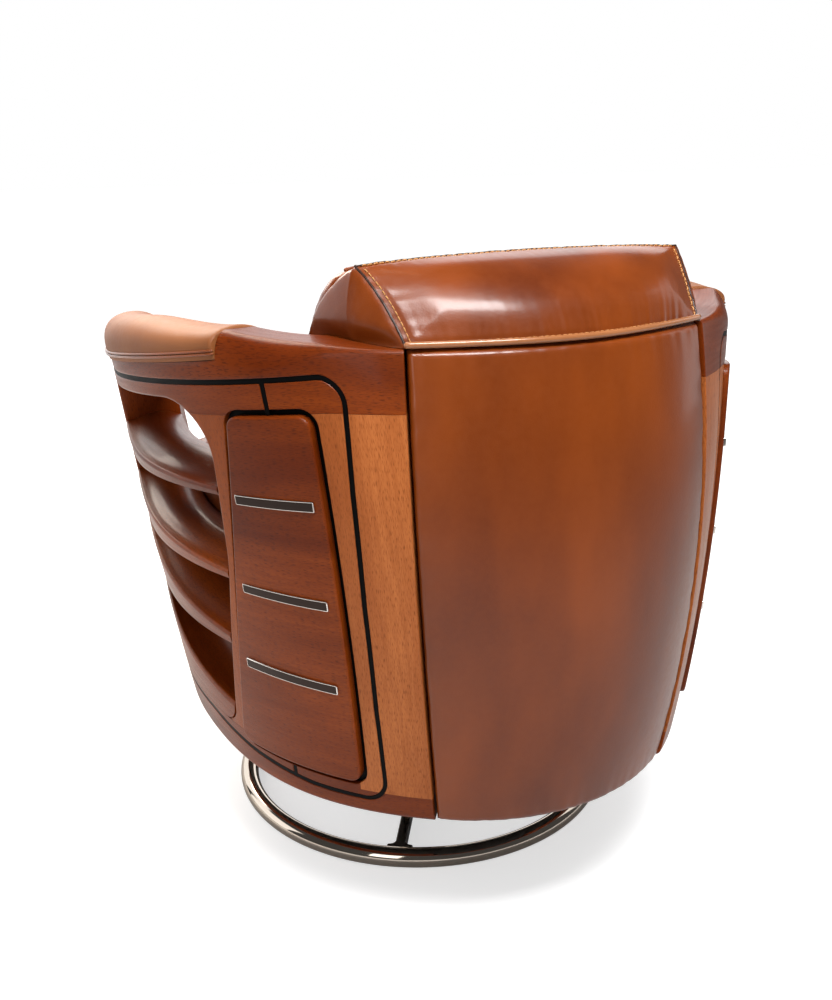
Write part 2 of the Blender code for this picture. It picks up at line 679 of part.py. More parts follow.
def back_and_front():
    """The leather back and front border, with the bent plywood that carries each."""
    def leather_span(z):
        return through_three(BACK_JOINT, z) + 0.12, 180 - through_three(BACK_JOINT, z) - 0.12

    bent_sheet("back_panel", "leather", 0, BACK_THICK, leather_span, HEIGHT_BOTTOM, RAIL_TOP,
               SKIN_SOFT)
    bent_sheet("back_frame", "plywood", BACK_THICK + 2 * END_GAP, FRAME_THICK,
               lambda z: (66, 114), BOARD_TOP + GAP, RAIL_TOP)
    bent_sheet("front_border", "leather", BORDER_DEEP, BACK_THICK,
               lambda z: (BORDER_END - 180, -BORDER_END), HEIGHT_BOTTOM, BORDER_TOP, SKIN_SOFT)
    bent_sheet("front_frame", "plywood", BACK_THICK + BORDER_DEEP + 2 * END_GAP, FRAME_THICK,
               lambda z: (-129, -51), BOARD_TOP + GAP, SEAT_DECK - FRAME_THICK - GAP)


def tub_outline(z, spans):
    """A closed outline round the tub in plan: each span is (from, to, depth), in degrees."""
    outline = []
    for start, end, depth in spans:
        count = max(1, round((end - start) / 7.5))
        for k in range(count + 1):
            x, y, _ = on_barrel(along(start + (end - start) * k / count), depth, z)
            outline.append((x, y))
    return outline


def drill(board, low, high, radius):
    """Cut the four bolt holes."""
    for x, y in bolt_places():
        hole = [(x + dx, y + dy) for dx, dy in circle(radius, 10)]
        combine(board, prism(hole, low, high, "xy"))
    return board


def bolt_places():
    """Where the four swivel bolts are, in plan."""
    return [(sx * BOLT_AT, sy * BOLT_AT) for sx, sy in ((1, 1), (-1, 1), (-1, -1), (1, -1))]


def named(flat, name, slot):
    """Give a solid that isn't bent its name and finish."""
    bm = bmesh.new()
    bm.from_mesh(flat.data)
    bpy.data.objects.remove(flat)
    bmesh.ops.triangulate(bm, faces=bm.faces)
    return add_object(name, bm, slot)


def inner_frame():
    """The base board, the drum on it, the seat deck and the board inside the back."""
    wood, leather = ARM_THICK + END_GAP, BACK_THICK + BORDER_DEEP + END_GAP
    spans = [(-50, 64, wood), (64, 116, leather), (116, 230, wood), (230, 310, leather)]
    board = prism(tub_outline(HEIGHT_BOTTOM, spans), BOARD_FOOT, BOARD_TOP, "xy")
    drill(board, BOARD_FOOT - 0.01, BOARD_TOP + 0.01, BOLT_RADIUS + GAP)
    named(board, "base_board", "plywood")

    inside = INNER_FACE + INNER_ARM_THICK + 2 * END_GAP
    deck_foot = SEAT_DECK - FRAME_THICK
    drum = prism(tub_outline(BOARD_TOP, [(0, 352.5, inside)]), BOARD_TOP + GAP, deck_foot - GAP, "xy")
    hollow = tub_outline(BOARD_TOP, [(0, 352.5, inside + FRAME_THICK)])
    named(combine(drum, prism(hollow, BELOW_ALL, HALF_WAY, "xy")), "seat_drum", "plywood")
    deck = prism(tub_outline(BOARD_TOP, [(0, 352.5, inside)]), deck_foot, SEAT_DECK, "xy")
    named(deck, "seat_deck", "plywood")

    half = BACK_BOARD_HALF
    back = prism([(-half, BACK_BOARD_Y), (half, BACK_BOARD_Y), (half, BACK_BOARD_Y + BACK_BOARD_THICK),
                  (-half, BACK_BOARD_Y + BACK_BOARD_THICK)], SEAT_DECK + GAP, RAIL_TOP, "xy")
    named(back, "inner_back_board", "plywood")


# The cushions

def ring_at(outline, centre, scale, z):
    """An outline drawn in towards its centre, at one height."""
    return [(centre[0] + (x - centre[0]) * scale, centre[1] + (y - centre[1]) * scale, z)
            for x, y in outline]


def seat_cushion():
    """A crowned cushion between the arms, its front edge following the tub."""
    inside = INNER_FACE + INNER_ARM_THICK + 0.003
    side_of = [on_barrel(along(angle), inside, SEAT_DECK)[:2]
               for angle in (-43, -37, -31, -24, -16, -8, 0, 8, 16)]
    front_of = [on_barrel(along(angle), SEAT_SET_IN, SEAT_EDGE)[:2]
                for angle in (-56, -62, -69, -76, -83, -90)]
    right = [(side_of[-1][0] - 0.016, SEAT_BACK)] + side_of[::-1] + front_of
    left = [(-x, y) for x, y in reversed(right[:-1])]
    outline = right + left
    centre = (0.0, SEAT_CENTRE_Y)
    profile = ((0.95, SEAT_DECK + GAP), (0.99, SEAT_DECK + 0.012), (1.01, 0.5 * (SEAT_DECK + SEAT_EDGE)),
               (SEAT_SPREAD, SEAT_EDGE - 0.006), (SEAT_SPREAD - 0.015, SEAT_EDGE + 0.004),
               (0.92, SEAT_EDGE + 0.5 * SEAT_CROWN), (0.72, SEAT_EDGE + 0.8 * SEAT_CROWN),
               (0.40, SEAT_EDGE + SEAT_CROWN))
    rings = [ring_at(outline, centre, scale, z) for scale, z in profile]
    add_object("seat_cushion", loft_mesh(rings), "leather")


def back_cushion():
    """The cushion on the inner back board: full at the waist and thin at the top."""
    seat, waist, top = BACK_CUSHION_Y
    stations = ((SEAT_DECK + GAP, 0.97, seat + 0.012), (SEAT_DECK + 0.02, 1.0, seat),
                (SEAT_EDGE + 0.02, 1.0, seat - 0.002), (0.52, 1.0, waist), (0.60, 1.0, waist + 0.012),
                (0.66, 0.99, waist + 0.030), (LEAN_FROM, 0.985, top - 0.020),
                (0.705, 0.998, top - 0.010), (0.729, 0.955, top),
                (BACK_CUSHION_TOP - 0.007, 0.905, top + 0.008), (BACK_CUSHION_TOP, 0.845, top + 0.020))
    rings = []
    inside = INNER_FACE + INNER_ARM_THICK + 0.003
    for z, width, front in stations:
        rear = BACK_BOARD_Y - GAP + BACK_CUSHION_LEAN * max(z - LEAN_FROM, 0.0)
        half = on_barrel(along(INNER_ARM_BACK), inside, min(z, INNER_ARM_HIGH))[0] * width - 0.004
        side_face = 0.30 * front + 0.70 * rear
        ring = [(half, rear, z), (half + 0.002, side_face, z)]
        ring += [(half * s, front - 0.012 * (1 - s * s) + (side_face - front) * s ** 8, z)
                 for s in (0.92, 0.7, 0.4, 0.0, -0.4, -0.7, -0.92)]
        ring += [(-half - 0.002, side_face, z), (-half, rear, z)]
        rings.append(ring)
    add_object("back_cushion", loft_mesh(rings), "leather")


def headrest():
    """The roll on the back: a crowned face that leans forwards to a stitched edge."""
    foot, foot_front = HEADREST_FOOT, BACK_BOARD_Y + 2 * GAP
    rings = []
    for k in range(13):
        s = -1 + k / 6
        bulge = 1 - s * s
        rear_y = skin_point(math.radians(90 - (90 - BACK_JOINT[2]) * s), RAIL_TOP)[1] - 0.001
        edge_y, edge_z = HEADREST_EDGE_Y - HEADREST_HOLLOW * bulge, HEADREST_EDGE + HEADREST_RISE * bulge
        ring = []
        for j in range(8):
            f = j / 7
            y = (1 - f) ** 2 * rear_y + 2 * f * (1 - f) * (rear_y - HEADREST_SLOPE) + f * f * edge_y
            z = (1 - f) ** 2 * foot + 2 * f * (1 - f) * (edge_z - HEADREST_SHOULDER) + f * f * edge_z
            ring.append((y, z))
        for j in range(1, 6):
            f = j / 5
            y = (1 - f) ** 2 * edge_y + 2 * f * (1 - f) * (foot_front + 0.002) + f * f * foot_front
            z = (1 - f) ** 2 * edge_z + 2 * f * (1 - f) * (edge_z - 0.014) + f * f * foot
            ring.append((y, z))
        rings.append([(s * headrest_side(y, z), y, z) for y, z in ring])
    for side, end in ((LEFT, -1), (RIGHT, 0)):
        flat = [(y, z) for _, y, z in rings[end]]
        middle = 0.5 * (flat[0][0] + flat[-1][0])
        for scale, puff in GUSSET_PUFF:
            ring = []
            for y, z in flat:
                y, z = middle + (y - middle) * scale, foot + (z - foot) * scale
                rise = smooth_step(between(z, foot, foot + GUSSET_FOOT))
                ring.append((side * (headrest_side(y, z) + puff * rise), y, z))
            if side == LEFT:
                rings.append(ring)
            else:
                rings.insert(0, ring)
    add_object("headrest", loft_mesh(rings), "leather")


# The base

def ring_solid(radius, grow, sides_round=44, sides_tube=12):
    """The ring's tube, with a flat of its section on the floor."""
    tube = TUBE_RADIUS + grow
    centre_z = TUBE_RADIUS * math.cos(math.pi / sides_tube)
    bm = bmesh.new()
    rows = []
    for i in range(sides_round):
        turn = math.tau * i / sides_round
        row = []
        for j in range(sides_tube):
            lean = math.tau * (j + 0.5) / sides_tube
            out = radius + tube * math.sin(lean)
            place = (out * math.cos(turn), out * math.sin(turn), centre_z - tube * math.cos(lean))
            row.append(bm.verts.new(place))
        rows.append(row)
    for i in range(sides_round):
        for j in range(sides_tube):
            bm.faces.new((rows[i - 1][j - 1], rows[i][j - 1], rows[i][j], rows[i - 1][j]))
    return bm


def base():
    """The chrome ring, its four spokes, the column and the swivel's lower half."""
    add_object("base_ring", ring_solid(RING_RADIUS, 0), "chrome")

    half, flare = 0.5 * SPOKE_WIDE, SPOKE_FLARE
    start, end = HUB_RADIUS * math.cos(math.pi / 24) + 2 * GAP, RING_RADIUS - 0.5 * TUBE_RADIUS
    fillet = end - 0.5 * TUBE_RADIUS
    corner = [(fillet - flare + flare * math.sin(a), half + flare - flare * math.cos(a))
              for a in (math.radians(22.5 * k) for k in range(5))]
    near_side = [(start, half)] + corner + [(end, half + flare)]
    outline = near_side + [(x, -y) for x, y in reversed(near_side)]
    for number in range(4):
        turn = math.radians(SPOKE_TURN + 90 * number)
        turned = [(x * math.cos(turn) - y * math.sin(turn), x * math.sin(turn) + y * math.cos(turn))
                  for x, y in outline]
        spoke = prism(turned, SPOKE_FOOT, SPOKE_HEAD, "xy")
        tube = add_object("tube", ring_solid(RING_RADIUS, GAP))
        named(combine(spoke, tube), f"spoke_{number + 1}", "chrome")

    profile = ((HUB_RADIUS, SPOKE_FOOT), (HUB_RADIUS, SPOKE_HEAD - 0.002),
               (HUB_RADIUS - 0.003, SPOKE_HEAD + 0.001), (COLUMN_RADIUS + 0.004, SPOKE_HEAD + 0.003),
               (COLUMN_RADIUS, SPOKE_HEAD + 0.010), (COLUMN_RADIUS, COLUMN_TOP))
    rings = [[(x, y, z) for x, y in circle(r, TURNED_SIDES)] for r, z in profile]
    add_object("swivel_column", loft_mesh(rings), "chrome")

    plate = rounded([(-PLATE_HALF, -PLATE_HALF, 0.015), (PLATE_HALF, -PLATE_HALF, 0.015),
                     (PLATE_HALF, PLATE_HALF, 0.015), (-PLATE_HALF, PLATE_HALF, 0.015)])
    named(prism(plate, LOWER_PLATE, LOWER_PLATE + PLATE_THICK, "xy"), "swivel_plate_lower", "steel")
    upper = prism(plate, UPPER_PLATE, UPPER_PLATE + PLATE_THICK, "xy")
    drill(upper, UPPER_PLATE - 0.01, UPPER_PLATE + 0.02, BOLT_RADIUS + GAP)
    named(upper, "swivel_plate_upper", "steel")

    inner, outer = RACE_RADIUS
    race = prism(circle(outer, TURNED_SIDES), RACE_FOOT, RACE_FOOT + RACE_HIGH, "xy")
    hollow = prism(circle(inner, TURNED_SIDES), RACE_FOOT - 0.01, RACE_FOOT + 0.03, "xy")
    named(combine(race, hollow), "swivel_race", "steel")

    head_radius, head_high = BOLT_HEAD
    for number, (x, y) in enumerate(bolt_places(), start=1):
        rings = []
        for r, z in ((head_radius, UPPER_PLATE - GAP - head_high), (head_radius, UPPER_PLATE - GAP),
                     (BOLT_RADIUS, UPPER_PLATE - GAP), (BOLT_RADIUS, UPPER_PLATE + BOLT_LONG)):
            rings.append([(x + dx, y + dy, z) for dx, dy in circle(r, 6)])
        add_object(f"plate_bolt_{number}", loft_mesh(rings), "steel")


for label, side in SIDES:
    arm_rail(label, side)
    bottom_band(label, side)
    posts(label, side)
    shelves(label, side)
    raised_panel(label, side)
    black_line(label, side)
    arm_pad(label, side)
    inner_arm(label, side)
back_and_front()
inner_frame()
seat_cushion()
back_cushion()
headrest()
base()
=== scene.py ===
# %% [markdown]
# # Dressing a swivel club chair
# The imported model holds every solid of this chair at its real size: bent wood arms with shelves,
# a leather back and roll, cushions, and a chrome ring base with its swivel.
# This lesson dresses it. The solids stay where they are, and each visible one is replaced by a
# finer piece in the same place, so that its curves, edges, seams and finishes can be looked at closely.

# %% Load the frame
import math

import bmesh
import bpy
import numpy as np
from mathutils import Matrix, Vector


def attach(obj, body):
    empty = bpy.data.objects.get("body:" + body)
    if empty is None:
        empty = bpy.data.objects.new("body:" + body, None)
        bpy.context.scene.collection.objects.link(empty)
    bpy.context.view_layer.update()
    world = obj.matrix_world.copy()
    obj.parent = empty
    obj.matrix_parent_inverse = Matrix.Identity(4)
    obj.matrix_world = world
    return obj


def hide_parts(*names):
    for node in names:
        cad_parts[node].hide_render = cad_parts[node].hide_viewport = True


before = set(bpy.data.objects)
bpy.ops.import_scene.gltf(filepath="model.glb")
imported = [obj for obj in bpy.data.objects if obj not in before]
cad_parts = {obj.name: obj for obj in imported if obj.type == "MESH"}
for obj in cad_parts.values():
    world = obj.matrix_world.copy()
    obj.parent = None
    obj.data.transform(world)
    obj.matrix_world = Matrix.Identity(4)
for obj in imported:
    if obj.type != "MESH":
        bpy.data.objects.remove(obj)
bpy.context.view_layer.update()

# %% [markdown]
# ## The tub's skin
# The arms, the back and the front all lie on one skin: an ellipse in plan whose half-axes change
# with the height, like a barrel. The chair is easiest to draw flat, as a cooper or a boat builder
# would, and to bend afterwards. A flat point has u, the way round the skin, the depth under it,
# and the height. The arm's pieces also fall towards the front, and its top is arched.

# %% Sizes of the skin
HEIGHT_BOTTOM, HEIGHT_MIDDLE, HEIGHT_TOP = 0.154, 0.417, 0.680
RAIL_TOP = 0.684
HALF_WIDTH = (0.311, 0.354, 0.387)      # at the bottom, the middle and the top
HALF_DEPTH = (0.406, 0.432, 0.399)
FRONT_FULLNESS = (0.045, 0.080, 0.125)  # how much squarer the plan is at its front corners
SIDE_FULLNESS = (0.022, -0.010, 0.012)  # and behind the middle of each side
SIDE_REACH, BACK_FULLNESS = 60.0, 0.006
SKIN_RADIUS = 0.39                      # u is this radius times the plan angle
FALL_FROM, FALL_RATE = 50.0, 0.00076    # where the pieces start to converge, and the drop a degree
FALL_FOOT, FALL_HEAD = 0.360, 0.650
ARCH_HIGH, ARCH_FOOT, ARCH_FROM, ARCH_TO, ARCH_POWER = 0.0245, 0.660, 62.0, 33.5, 1.9


def through_three(values, z):
    """A parabola through the values at the bottom, middle and top heights."""
    low, mid, high = values
    s = (z - HEIGHT_MIDDLE) / (HEIGHT_TOP - HEIGHT_MIDDLE)
    return mid + 0.5 * (high - low) * s + 0.5 * (high + low - 2 * mid) * s * s


def between(value, low, high):
    """How far a value is from low to high, held to the range 0 to 1."""
    return np.clip((value - low) / (high - low), 0.0, 1.0)


def smooth_step(x):
    """A smooth rise as x goes from 0 to 1."""
    return x * x * (3 - 2 * x)


def along(degrees):
    """The way round the skin for a plan angle."""
    return SKIN_RADIUS * np.radians(degrees)


def skin_point(angle, z):
    """A point of the skin in plan: an ellipse with fuller corners."""
    corner = np.sin(2 * angle) ** 2
    fuller = np.where(np.sin(angle) < 0, through_three(FRONT_FULLNESS, z) * corner ** 2,
                      BACK_FULLNESS * corner)
    swell = np.sin(math.pi * np.clip(np.degrees(angle) / SIDE_REACH, 0, 1)) ** 2
    fuller = fuller + through_three(SIDE_FULLNESS, z) * swell
    return (through_three(HALF_WIDTH, z) * np.cos(angle) * (1 + fuller),
            through_three(HALF_DEPTH, z) * np.sin(angle) * (1 + fuller))


def on_barrel(flat):
    """The places in the chair of flat points, as rows of u, depth and height."""
    flat = np.asarray(flat, float)
    u, depth, z = flat[..., 0], flat[..., 1], flat[..., 2]
    angle = u / SKIN_RADIUS
    degrees = np.degrees(angle)
    climb = between(degrees, ARCH_FROM, ARCH_TO) ** ARCH_POWER
    arch = ARCH_HIGH * climb * np.maximum(z - ARCH_FOOT, 0.0) / (RAIL_TOP - ARCH_FOOT)
    fall = FALL_RATE * np.maximum(FALL_FROM - degrees, 0.0) * between(z, FALL_FOOT, FALL_HEAD)
    z = z + arch - fall
    x, y = skin_point(angle, z)
    ahead, behind = skin_point(angle + 1e-4, z), skin_point(angle - 1e-4, z)
    along_x, along_y = ahead[0] - behind[0], ahead[1] - behind[1]
    length = np.hypot(along_x, along_y)
    return np.stack([x - depth * along_y / length, y + depth * along_x / length, z], axis=-1)


waist = [[along(angle), 0, HEIGHT_MIDDLE] for angle in (90, 0)]
print("skin at the waist, back and left:", on_barrel(waist).round(3))

# %% [markdown]
# The inverse is needed once: after a cut that was made in the chair, the wood still has to know
# where it was in the flat board, because its grain is drawn there. Newton's method finds it.

# %% From the chair back to the flat board


def unbend(points):
    """The flat places of points of the chair's left side."""
    points = np.asarray(points, float)
    angle = np.arctan2(points[:, 1] / HALF_DEPTH[2], points[:, 0] / HALF_WIDTH[2])
    flat = np.stack([SKIN_RADIUS * angle, np.full(len(points), 0.03), points[:, 2]], axis=-1)
    nudge = 1e-5
    for _ in range(8):
        here = on_barrel(flat)
        slopes = [(on_barrel(flat + nudge * way) - here) / nudge for way in np.eye(3)]
        flat += np.linalg.solve(np.stack(slopes, axis=-1), (points - here)[..., None])[..., 0]
    return flat


trial = np.array([[along(40), 0.02, 0.66]])
print("unbending misses by", float(np.abs(unbend(on_barrel(trial)) - trial).max()))

# %% [markdown]
# ## Shader groups
# Effects that several finishes share are built once as node groups: the figure and pores of
# wood, and the clouds, mottle and pebbles of leather. Each finish turns what comes out of its
# group into colour, roughness and relief.

# %% Helpers for nodes


def add_node(tree, kind, **settings):
    """A new node with its settings."""
    node = tree.nodes.new(kind)
    for key, value in settings.items():
        setattr(node, key, value)
    return node


def new_group(name, inputs, outputs):
    """An empty shader group with named sockets, its way in and its way out."""
    group = bpy.data.node_groups.new(name, "ShaderNodeTree")
    for label, kind, value in inputs:
        socket = group.interface.new_socket(label, in_out="INPUT", socket_type=kind)
        if value is not None:
            socket.default_value = value
    for label, kind in outputs:
        group.interface.new_socket(label, in_out="OUTPUT", socket_type=kind)
    return group, group.nodes.new("NodeGroupInput"), group.nodes.new("NodeGroupOutput")


def feed(tree, socket, value):
    """Give an input a link or a constant; a colour may leave out its alpha."""
    if hasattr(value, "links"):
        tree.links.new(value, socket)
    elif socket.type == "RGBA":
        socket.default_value = (*value, 1.0)
    else:
        socket.default_value = value


def scaled(tree, vector, factors):
    """A vector socket multiplied by a vector socket or a constant."""
    product = add_node(tree, "ShaderNodeVectorMath", operation="MULTIPLY")
    feed(tree, product.inputs[0], vector)
    feed(tree, product.inputs[1], factors)
    return product.outputs[0]


def noise_at(tree, vector, scale, detail=3.0, roughness=0.5, distortion=0.0):
    """The factor of a noise texture at a vector."""
    texture = add_node(tree, "ShaderNodeTexNoise")
    tree.links.new(vector, texture.inputs["Vector"])
    for label, value in (("Scale", scale), ("Detail", detail), ("Roughness", roughness),
                         ("Distortion", distortion)):
        texture.inputs[label].default_value = value
    return texture.outputs["Fac"]


def object_place(tree):
    """The place of a point in its piece."""
    return add_node(tree, "ShaderNodeTexCoord").outputs["Object"]


def ranged(tree, value, low, high, to_low=0.0, to_high=1.0):
    """A value's range mapped to another, held to its ends."""
    node = add_node(tree, "ShaderNodeMapRange")
    tree.links.new(value, node.inputs["Value"])
    for label, number in (("From Min", low), ("From Max", high), ("To Min", to_low), ("To Max", to_high)):
        node.inputs[label].default_value = number
    return node.outputs["Result"]


def mathed(tree, operation, first, second):
    """Two values, sockets or constants, through a math node."""
    node = add_node(tree, "ShaderNodeMath", operation=operation)
    for socket, value in zip(node.inputs, (first, second)):
        feed(tree, socket, value)
    return node.outputs[0]


def mixed(tree, factor, first, second):
    """Two colours mixed by a factor."""
    node = add_node(tree, "ShaderNodeMix", data_type="RGBA")
    for number, value in ((0, factor), (6, first), (7, second)):
        feed(tree, node.inputs[number], value)
    return node.outputs[2]


print("node helpers ready")

# %% [markdown]
# Mahogany shows three things at three sizes: broad bands of darker and lighter wood, fine streaks
# along the grain, and pores, which are dark dashes a few millimetres long. All three are noise,
# stretched along the grain. The pores are the same noise cut off at a level.

# %% The grain group


def grain_group():
    """Wood figure, streaks and pores from a place in the flat board."""
    group, way_in, way_out = new_group(
        "wood_grain",
        [("Place", "NodeSocketVector", None), ("Figure Scale", "NodeSocketVector", (2.0, 9.0, 9.0)),
         ("Streak Scale", "NodeSocketVector", (14.0, 230.0, 230.0)),
         ("Pore Scale", "NodeSocketVector", (140.0, 1500.0, 1500.0))],
        [("Figure", "NodeSocketFloat"), ("Streaks", "NodeSocketFloat"), ("Pores", "NodeSocketFloat")])
    place = way_in.outputs["Place"]
    figure = noise_at(group, scaled(group, place, way_in.outputs["Figure Scale"]), 1.0, 3.0, 0.5, 0.8)
    streaks = noise_at(group, scaled(group, place, way_in.outputs["Streak Scale"]), 1.0, 4.0, 0.6, 0.3)
    pores = noise_at(group, scaled(group, place, way_in.outputs["Pore Scale"]), 1.0, 1.0, 0.4)
    group.links.new(ranged(group, figure, 0.33, 0.67), way_out.inputs["Figure"])
    group.links.new(ranged(group, streaks, 0.30, 0.70), way_out.inputs["Streaks"])
    group.links.new(ranged(group, pores, 0.53, 0.66), way_out.inputs["Pores"])
    return group


GRAIN = grain_group()
print("group", GRAIN.name, "with", len(GRAIN.nodes), "nodes")

# %% [markdown]
# Waxed leather is cloudy where it was dyed and rubbed, pebbled at about a millimetre, and never
# quite flat: a slow noise adds a gentle rolling, which breaks up the highlights.

# %% The leather group


def leather_group():
    """Clouds of dye, mottle, pebbles and rolling from a place in the chair."""
    group, way_in, way_out = new_group(
        "leather_surface",
        [("Place", "NodeSocketVector", None)],
        [("Clouds", "NodeSocketFloat"), ("Mottle", "NodeSocketFloat"), ("Height", "NodeSocketFloat")])
    place = way_in.outputs["Place"]
    clouds = noise_at(group, scaled(group, place, (1.0, 1.0, 0.40)), 8.0)
    mottle = noise_at(group, place, 150.0, 2.0)
    pebbles = add_node(group, "ShaderNodeTexVoronoi", feature="SMOOTH_F1")
    group.links.new(place, pebbles.inputs["Vector"])
    pebbles.inputs["Scale"].default_value = 620.0
    pebbles.inputs["Smoothness"].default_value = 0.6
    rolling = noise_at(group, place, 34.0, 2.0)
    height = mathed(group, "MULTIPLY", pebbles.outputs["Distance"], -0.30)
    height = mathed(group, "ADD", height, mathed(group, "MULTIPLY", rolling, 0.9))
    group.links.new(ranged(group, clouds, 0.32, 0.68), way_out.inputs["Clouds"])
    group.links.new(ranged(group, mottle, 0.10, 0.90), way_out.inputs["Mottle"])
    group.links.new(height, way_out.inputs["Height"])
    return group


HIDE = leather_group()
print("group", HIDE.name, "with", len(HIDE.nodes), "nodes")

# %% [markdown]
# ## Finishes
# Every finish is one Principled shader. What varies over the surface comes from the groups, and
# what is the same everywhere is set on the shader's own sockets: the lacquer is a coat over the
# wood, and polished metal is a low roughness.

# %% A finish to start from


def new_finish(name, roughness, metallic=0.0, coat=0.0, coat_roughness=0.1, specular=0.5):
    """A material, its tree and its shader, with the constants set."""
    material = bpy.data.materials.new(name)
    material.use_nodes = True
    shader = material.node_tree.nodes["Principled BSDF"]
    for label, value in (("Roughness", roughness), ("Metallic", metallic), ("Coat Weight", coat),
                         ("Coat Roughness", coat_roughness), ("Specular IOR Level", specular)):
        shader.inputs[label].default_value = value
    return material, material.node_tree, shader


def give(tree, shader, colour, gloss=None):
    """Feed a shader its colour and, where it varies, its roughness."""
    feed(tree, shader.inputs["Base Color"], colour)
    if gloss is not None:
        feed(tree, shader.inputs["Roughness"], gloss)


def relief(tree, shader, height, distance, strength=1.0):
    """A bump from a height, in metres."""
    bump = add_node(tree, "ShaderNodeBump")
    bump.inputs["Strength"].default_value = strength
    bump.inputs["Distance"].default_value = distance
    tree.links.new(height, bump.inputs["Height"])
    tree.links.new(bump.outputs["Normal"], shader.inputs["Normal"])


print("finish helper ready")

# %% [markdown]
# The arms are lacquered mahogany, red-brown, with a paler stile beside the leather. A picture
# of wood would stretch over the bends, so the colour comes from the grain group, and the upright
# pieces turn its direction.

# %% The two woods


def wood_finish(name, dark, light, pore, upright=False, pore_share=0.5):
    """Lacquered wood whose grain runs round the tub, or upright."""
    material, tree, shader = new_finish(name, 0.32, coat=0.10, specular=0.12)
    place = add_node(tree, "ShaderNodeAttribute", attribute_name="place")
    grain = add_node(tree, "ShaderNodeGroup", node_tree=GRAIN)
    tree.links.new(place.outputs["Vector"], grain.inputs["Place"])
    if upright:
        for label in ("Figure Scale", "Streak Scale", "Pore Scale"):
            lengthwise, across, _ = grain.inputs[label].default_value
            grain.inputs[label].default_value = (across, across, lengthwise)
    wood = mixed(tree, grain.outputs["Figure"], dark, light)
    wood = mixed(tree, mathed(tree, "MULTIPLY", grain.outputs["Streaks"], 0.45), wood, dark)
    pores = mathed(tree, "MULTIPLY", grain.outputs["Pores"], pore_share)
    wood = mixed(tree, pores, wood, pore)
    give(tree, shader, wood, ranged(tree, grain.outputs["Streaks"], 0.0, 1.0, 0.28, 0.38))
    relief(tree, shader, mathed(tree, "MULTIPLY", grain.outputs["Pores"], -1.0), 0.00012, 0.4)
    return material


RED_WOOD = ((0.105, 0.0150, 0.0010), (0.265, 0.0500, 0.0050), (0.020, 0.003, 0.001))
MAHOGANY = wood_finish("mahogany_lacquered", *RED_WOOD)
MAHOGANY_UPRIGHT = wood_finish("mahogany_upright", *RED_WOOD, upright=True)
MIDDLE_WOOD = wood_finish("mahogany_light_upright", (0.175, 0.0320, 0.0030), (0.330, 0.0740, 0.0105),
                          (0.060, 0.010, 0.002), upright=True)
STILE_WOOD = wood_finish("stile_wood_lacquered", (0.225, 0.050, 0.0085), (0.450, 0.138, 0.0360),
                         (0.130, 0.026, 0.005), upright=True, pore_share=0.62)
print("woods:", MAHOGANY.name, MAHOGANY_UPRIGHT.name, MIDDLE_WOOD.name, STILE_WOOD.name)

# %% [markdown]
# The hides are one cognac leather, with a paler one on the pads and paler strips at the seams.
# The headrest's seam cords are near black: real welts, whose dark colour is painted shade, the
# shade in the crease of each seam. Only their colours and gloss differ, so one function makes
# them all. Thread is duller, with a twist that is far smaller than its stitches.

# %% Leather, thread and piping


def leather_finish(name, dark, light, rub, roughness=0.31, coat=0.25):
    """Waxed leather: clouded dye, mottled, with pebbles."""
    material, tree, shader = new_finish(name, roughness, coat=coat, coat_roughness=0.15, specular=0.30)
    hide = add_node(tree, "ShaderNodeGroup", node_tree=HIDE)
    tree.links.new(object_place(tree), hide.inputs["Place"])
    colour = mixed(tree, hide.outputs["Clouds"], dark, light)
    colour = mixed(tree, mathed(tree, "MULTIPLY", hide.outputs["Mottle"], 0.14), colour, rub)
    give(tree, shader, colour,
         ranged(tree, hide.outputs["Mottle"], 0.0, 1.0, roughness - 0.05, roughness + 0.07))
    relief(tree, shader, hide.outputs["Height"], 0.00035, 0.55)
    return material


LEATHER = leather_finish("leather_cognac", (0.085, 0.0130, 0.0008), (0.195, 0.0370, 0.0026),
                         (0.250, 0.0560, 0.0060))
# Near-black leather for the headrest's seam cords: painted shade, the shade in each seam's crease.
SEAM_CORD_PAINTED_SHADE = leather_finish("seam_cord_painted_shade", (0.016, 0.0035, 0.0008), (0.034, 0.0080, 0.0015),
                      (0.040, 0.0100, 0.0020), 0.45)
PAD_LEATHER = leather_finish("leather_pad", (0.170, 0.0500, 0.0110), (0.270, 0.0920, 0.0260),
                             (0.300, 0.1120, 0.0360), 0.56, 0.0)
BEAD = leather_finish("leather_bead", (0.230, 0.0800, 0.0260), (0.330, 0.1250, 0.0450),
                      (0.380, 0.1500, 0.0600), 0.22, 0.80)
PIPING = leather_finish("leather_piping", (0.150, 0.034, 0.0080), (0.240, 0.056, 0.0110),
                        (0.300, 0.080, 0.0200), 0.32)


def thread_finish():
    """Waxed thread with a fine twist."""
    material, tree, shader = new_finish("waxed_thread", 0.55)
    twist = noise_at(tree, object_place(tree), 1400.0, 1.0)
    give(tree, shader, mixed(tree, twist, (0.300, 0.120, 0.030), (0.620, 0.310, 0.095)))
    relief(tree, shader, twist, 0.0001, 0.5)
    return material


THREAD = thread_finish()
print("leathers and thread:", [each.name for each in (LEATHER, SEAM_CORD_PAINTED_SHADE, PAD_LEATHER, BEAD, PIPING, THREAD)])

# %% [markdown]
# The ring, the spokes and the strips are polished, and the solids inside are lacquered or bare.
# A mirror without a flaw looks drawn, so a slow noise changes the gloss a little everywhere.

# %% Metal, black lacquer, plywood and steel


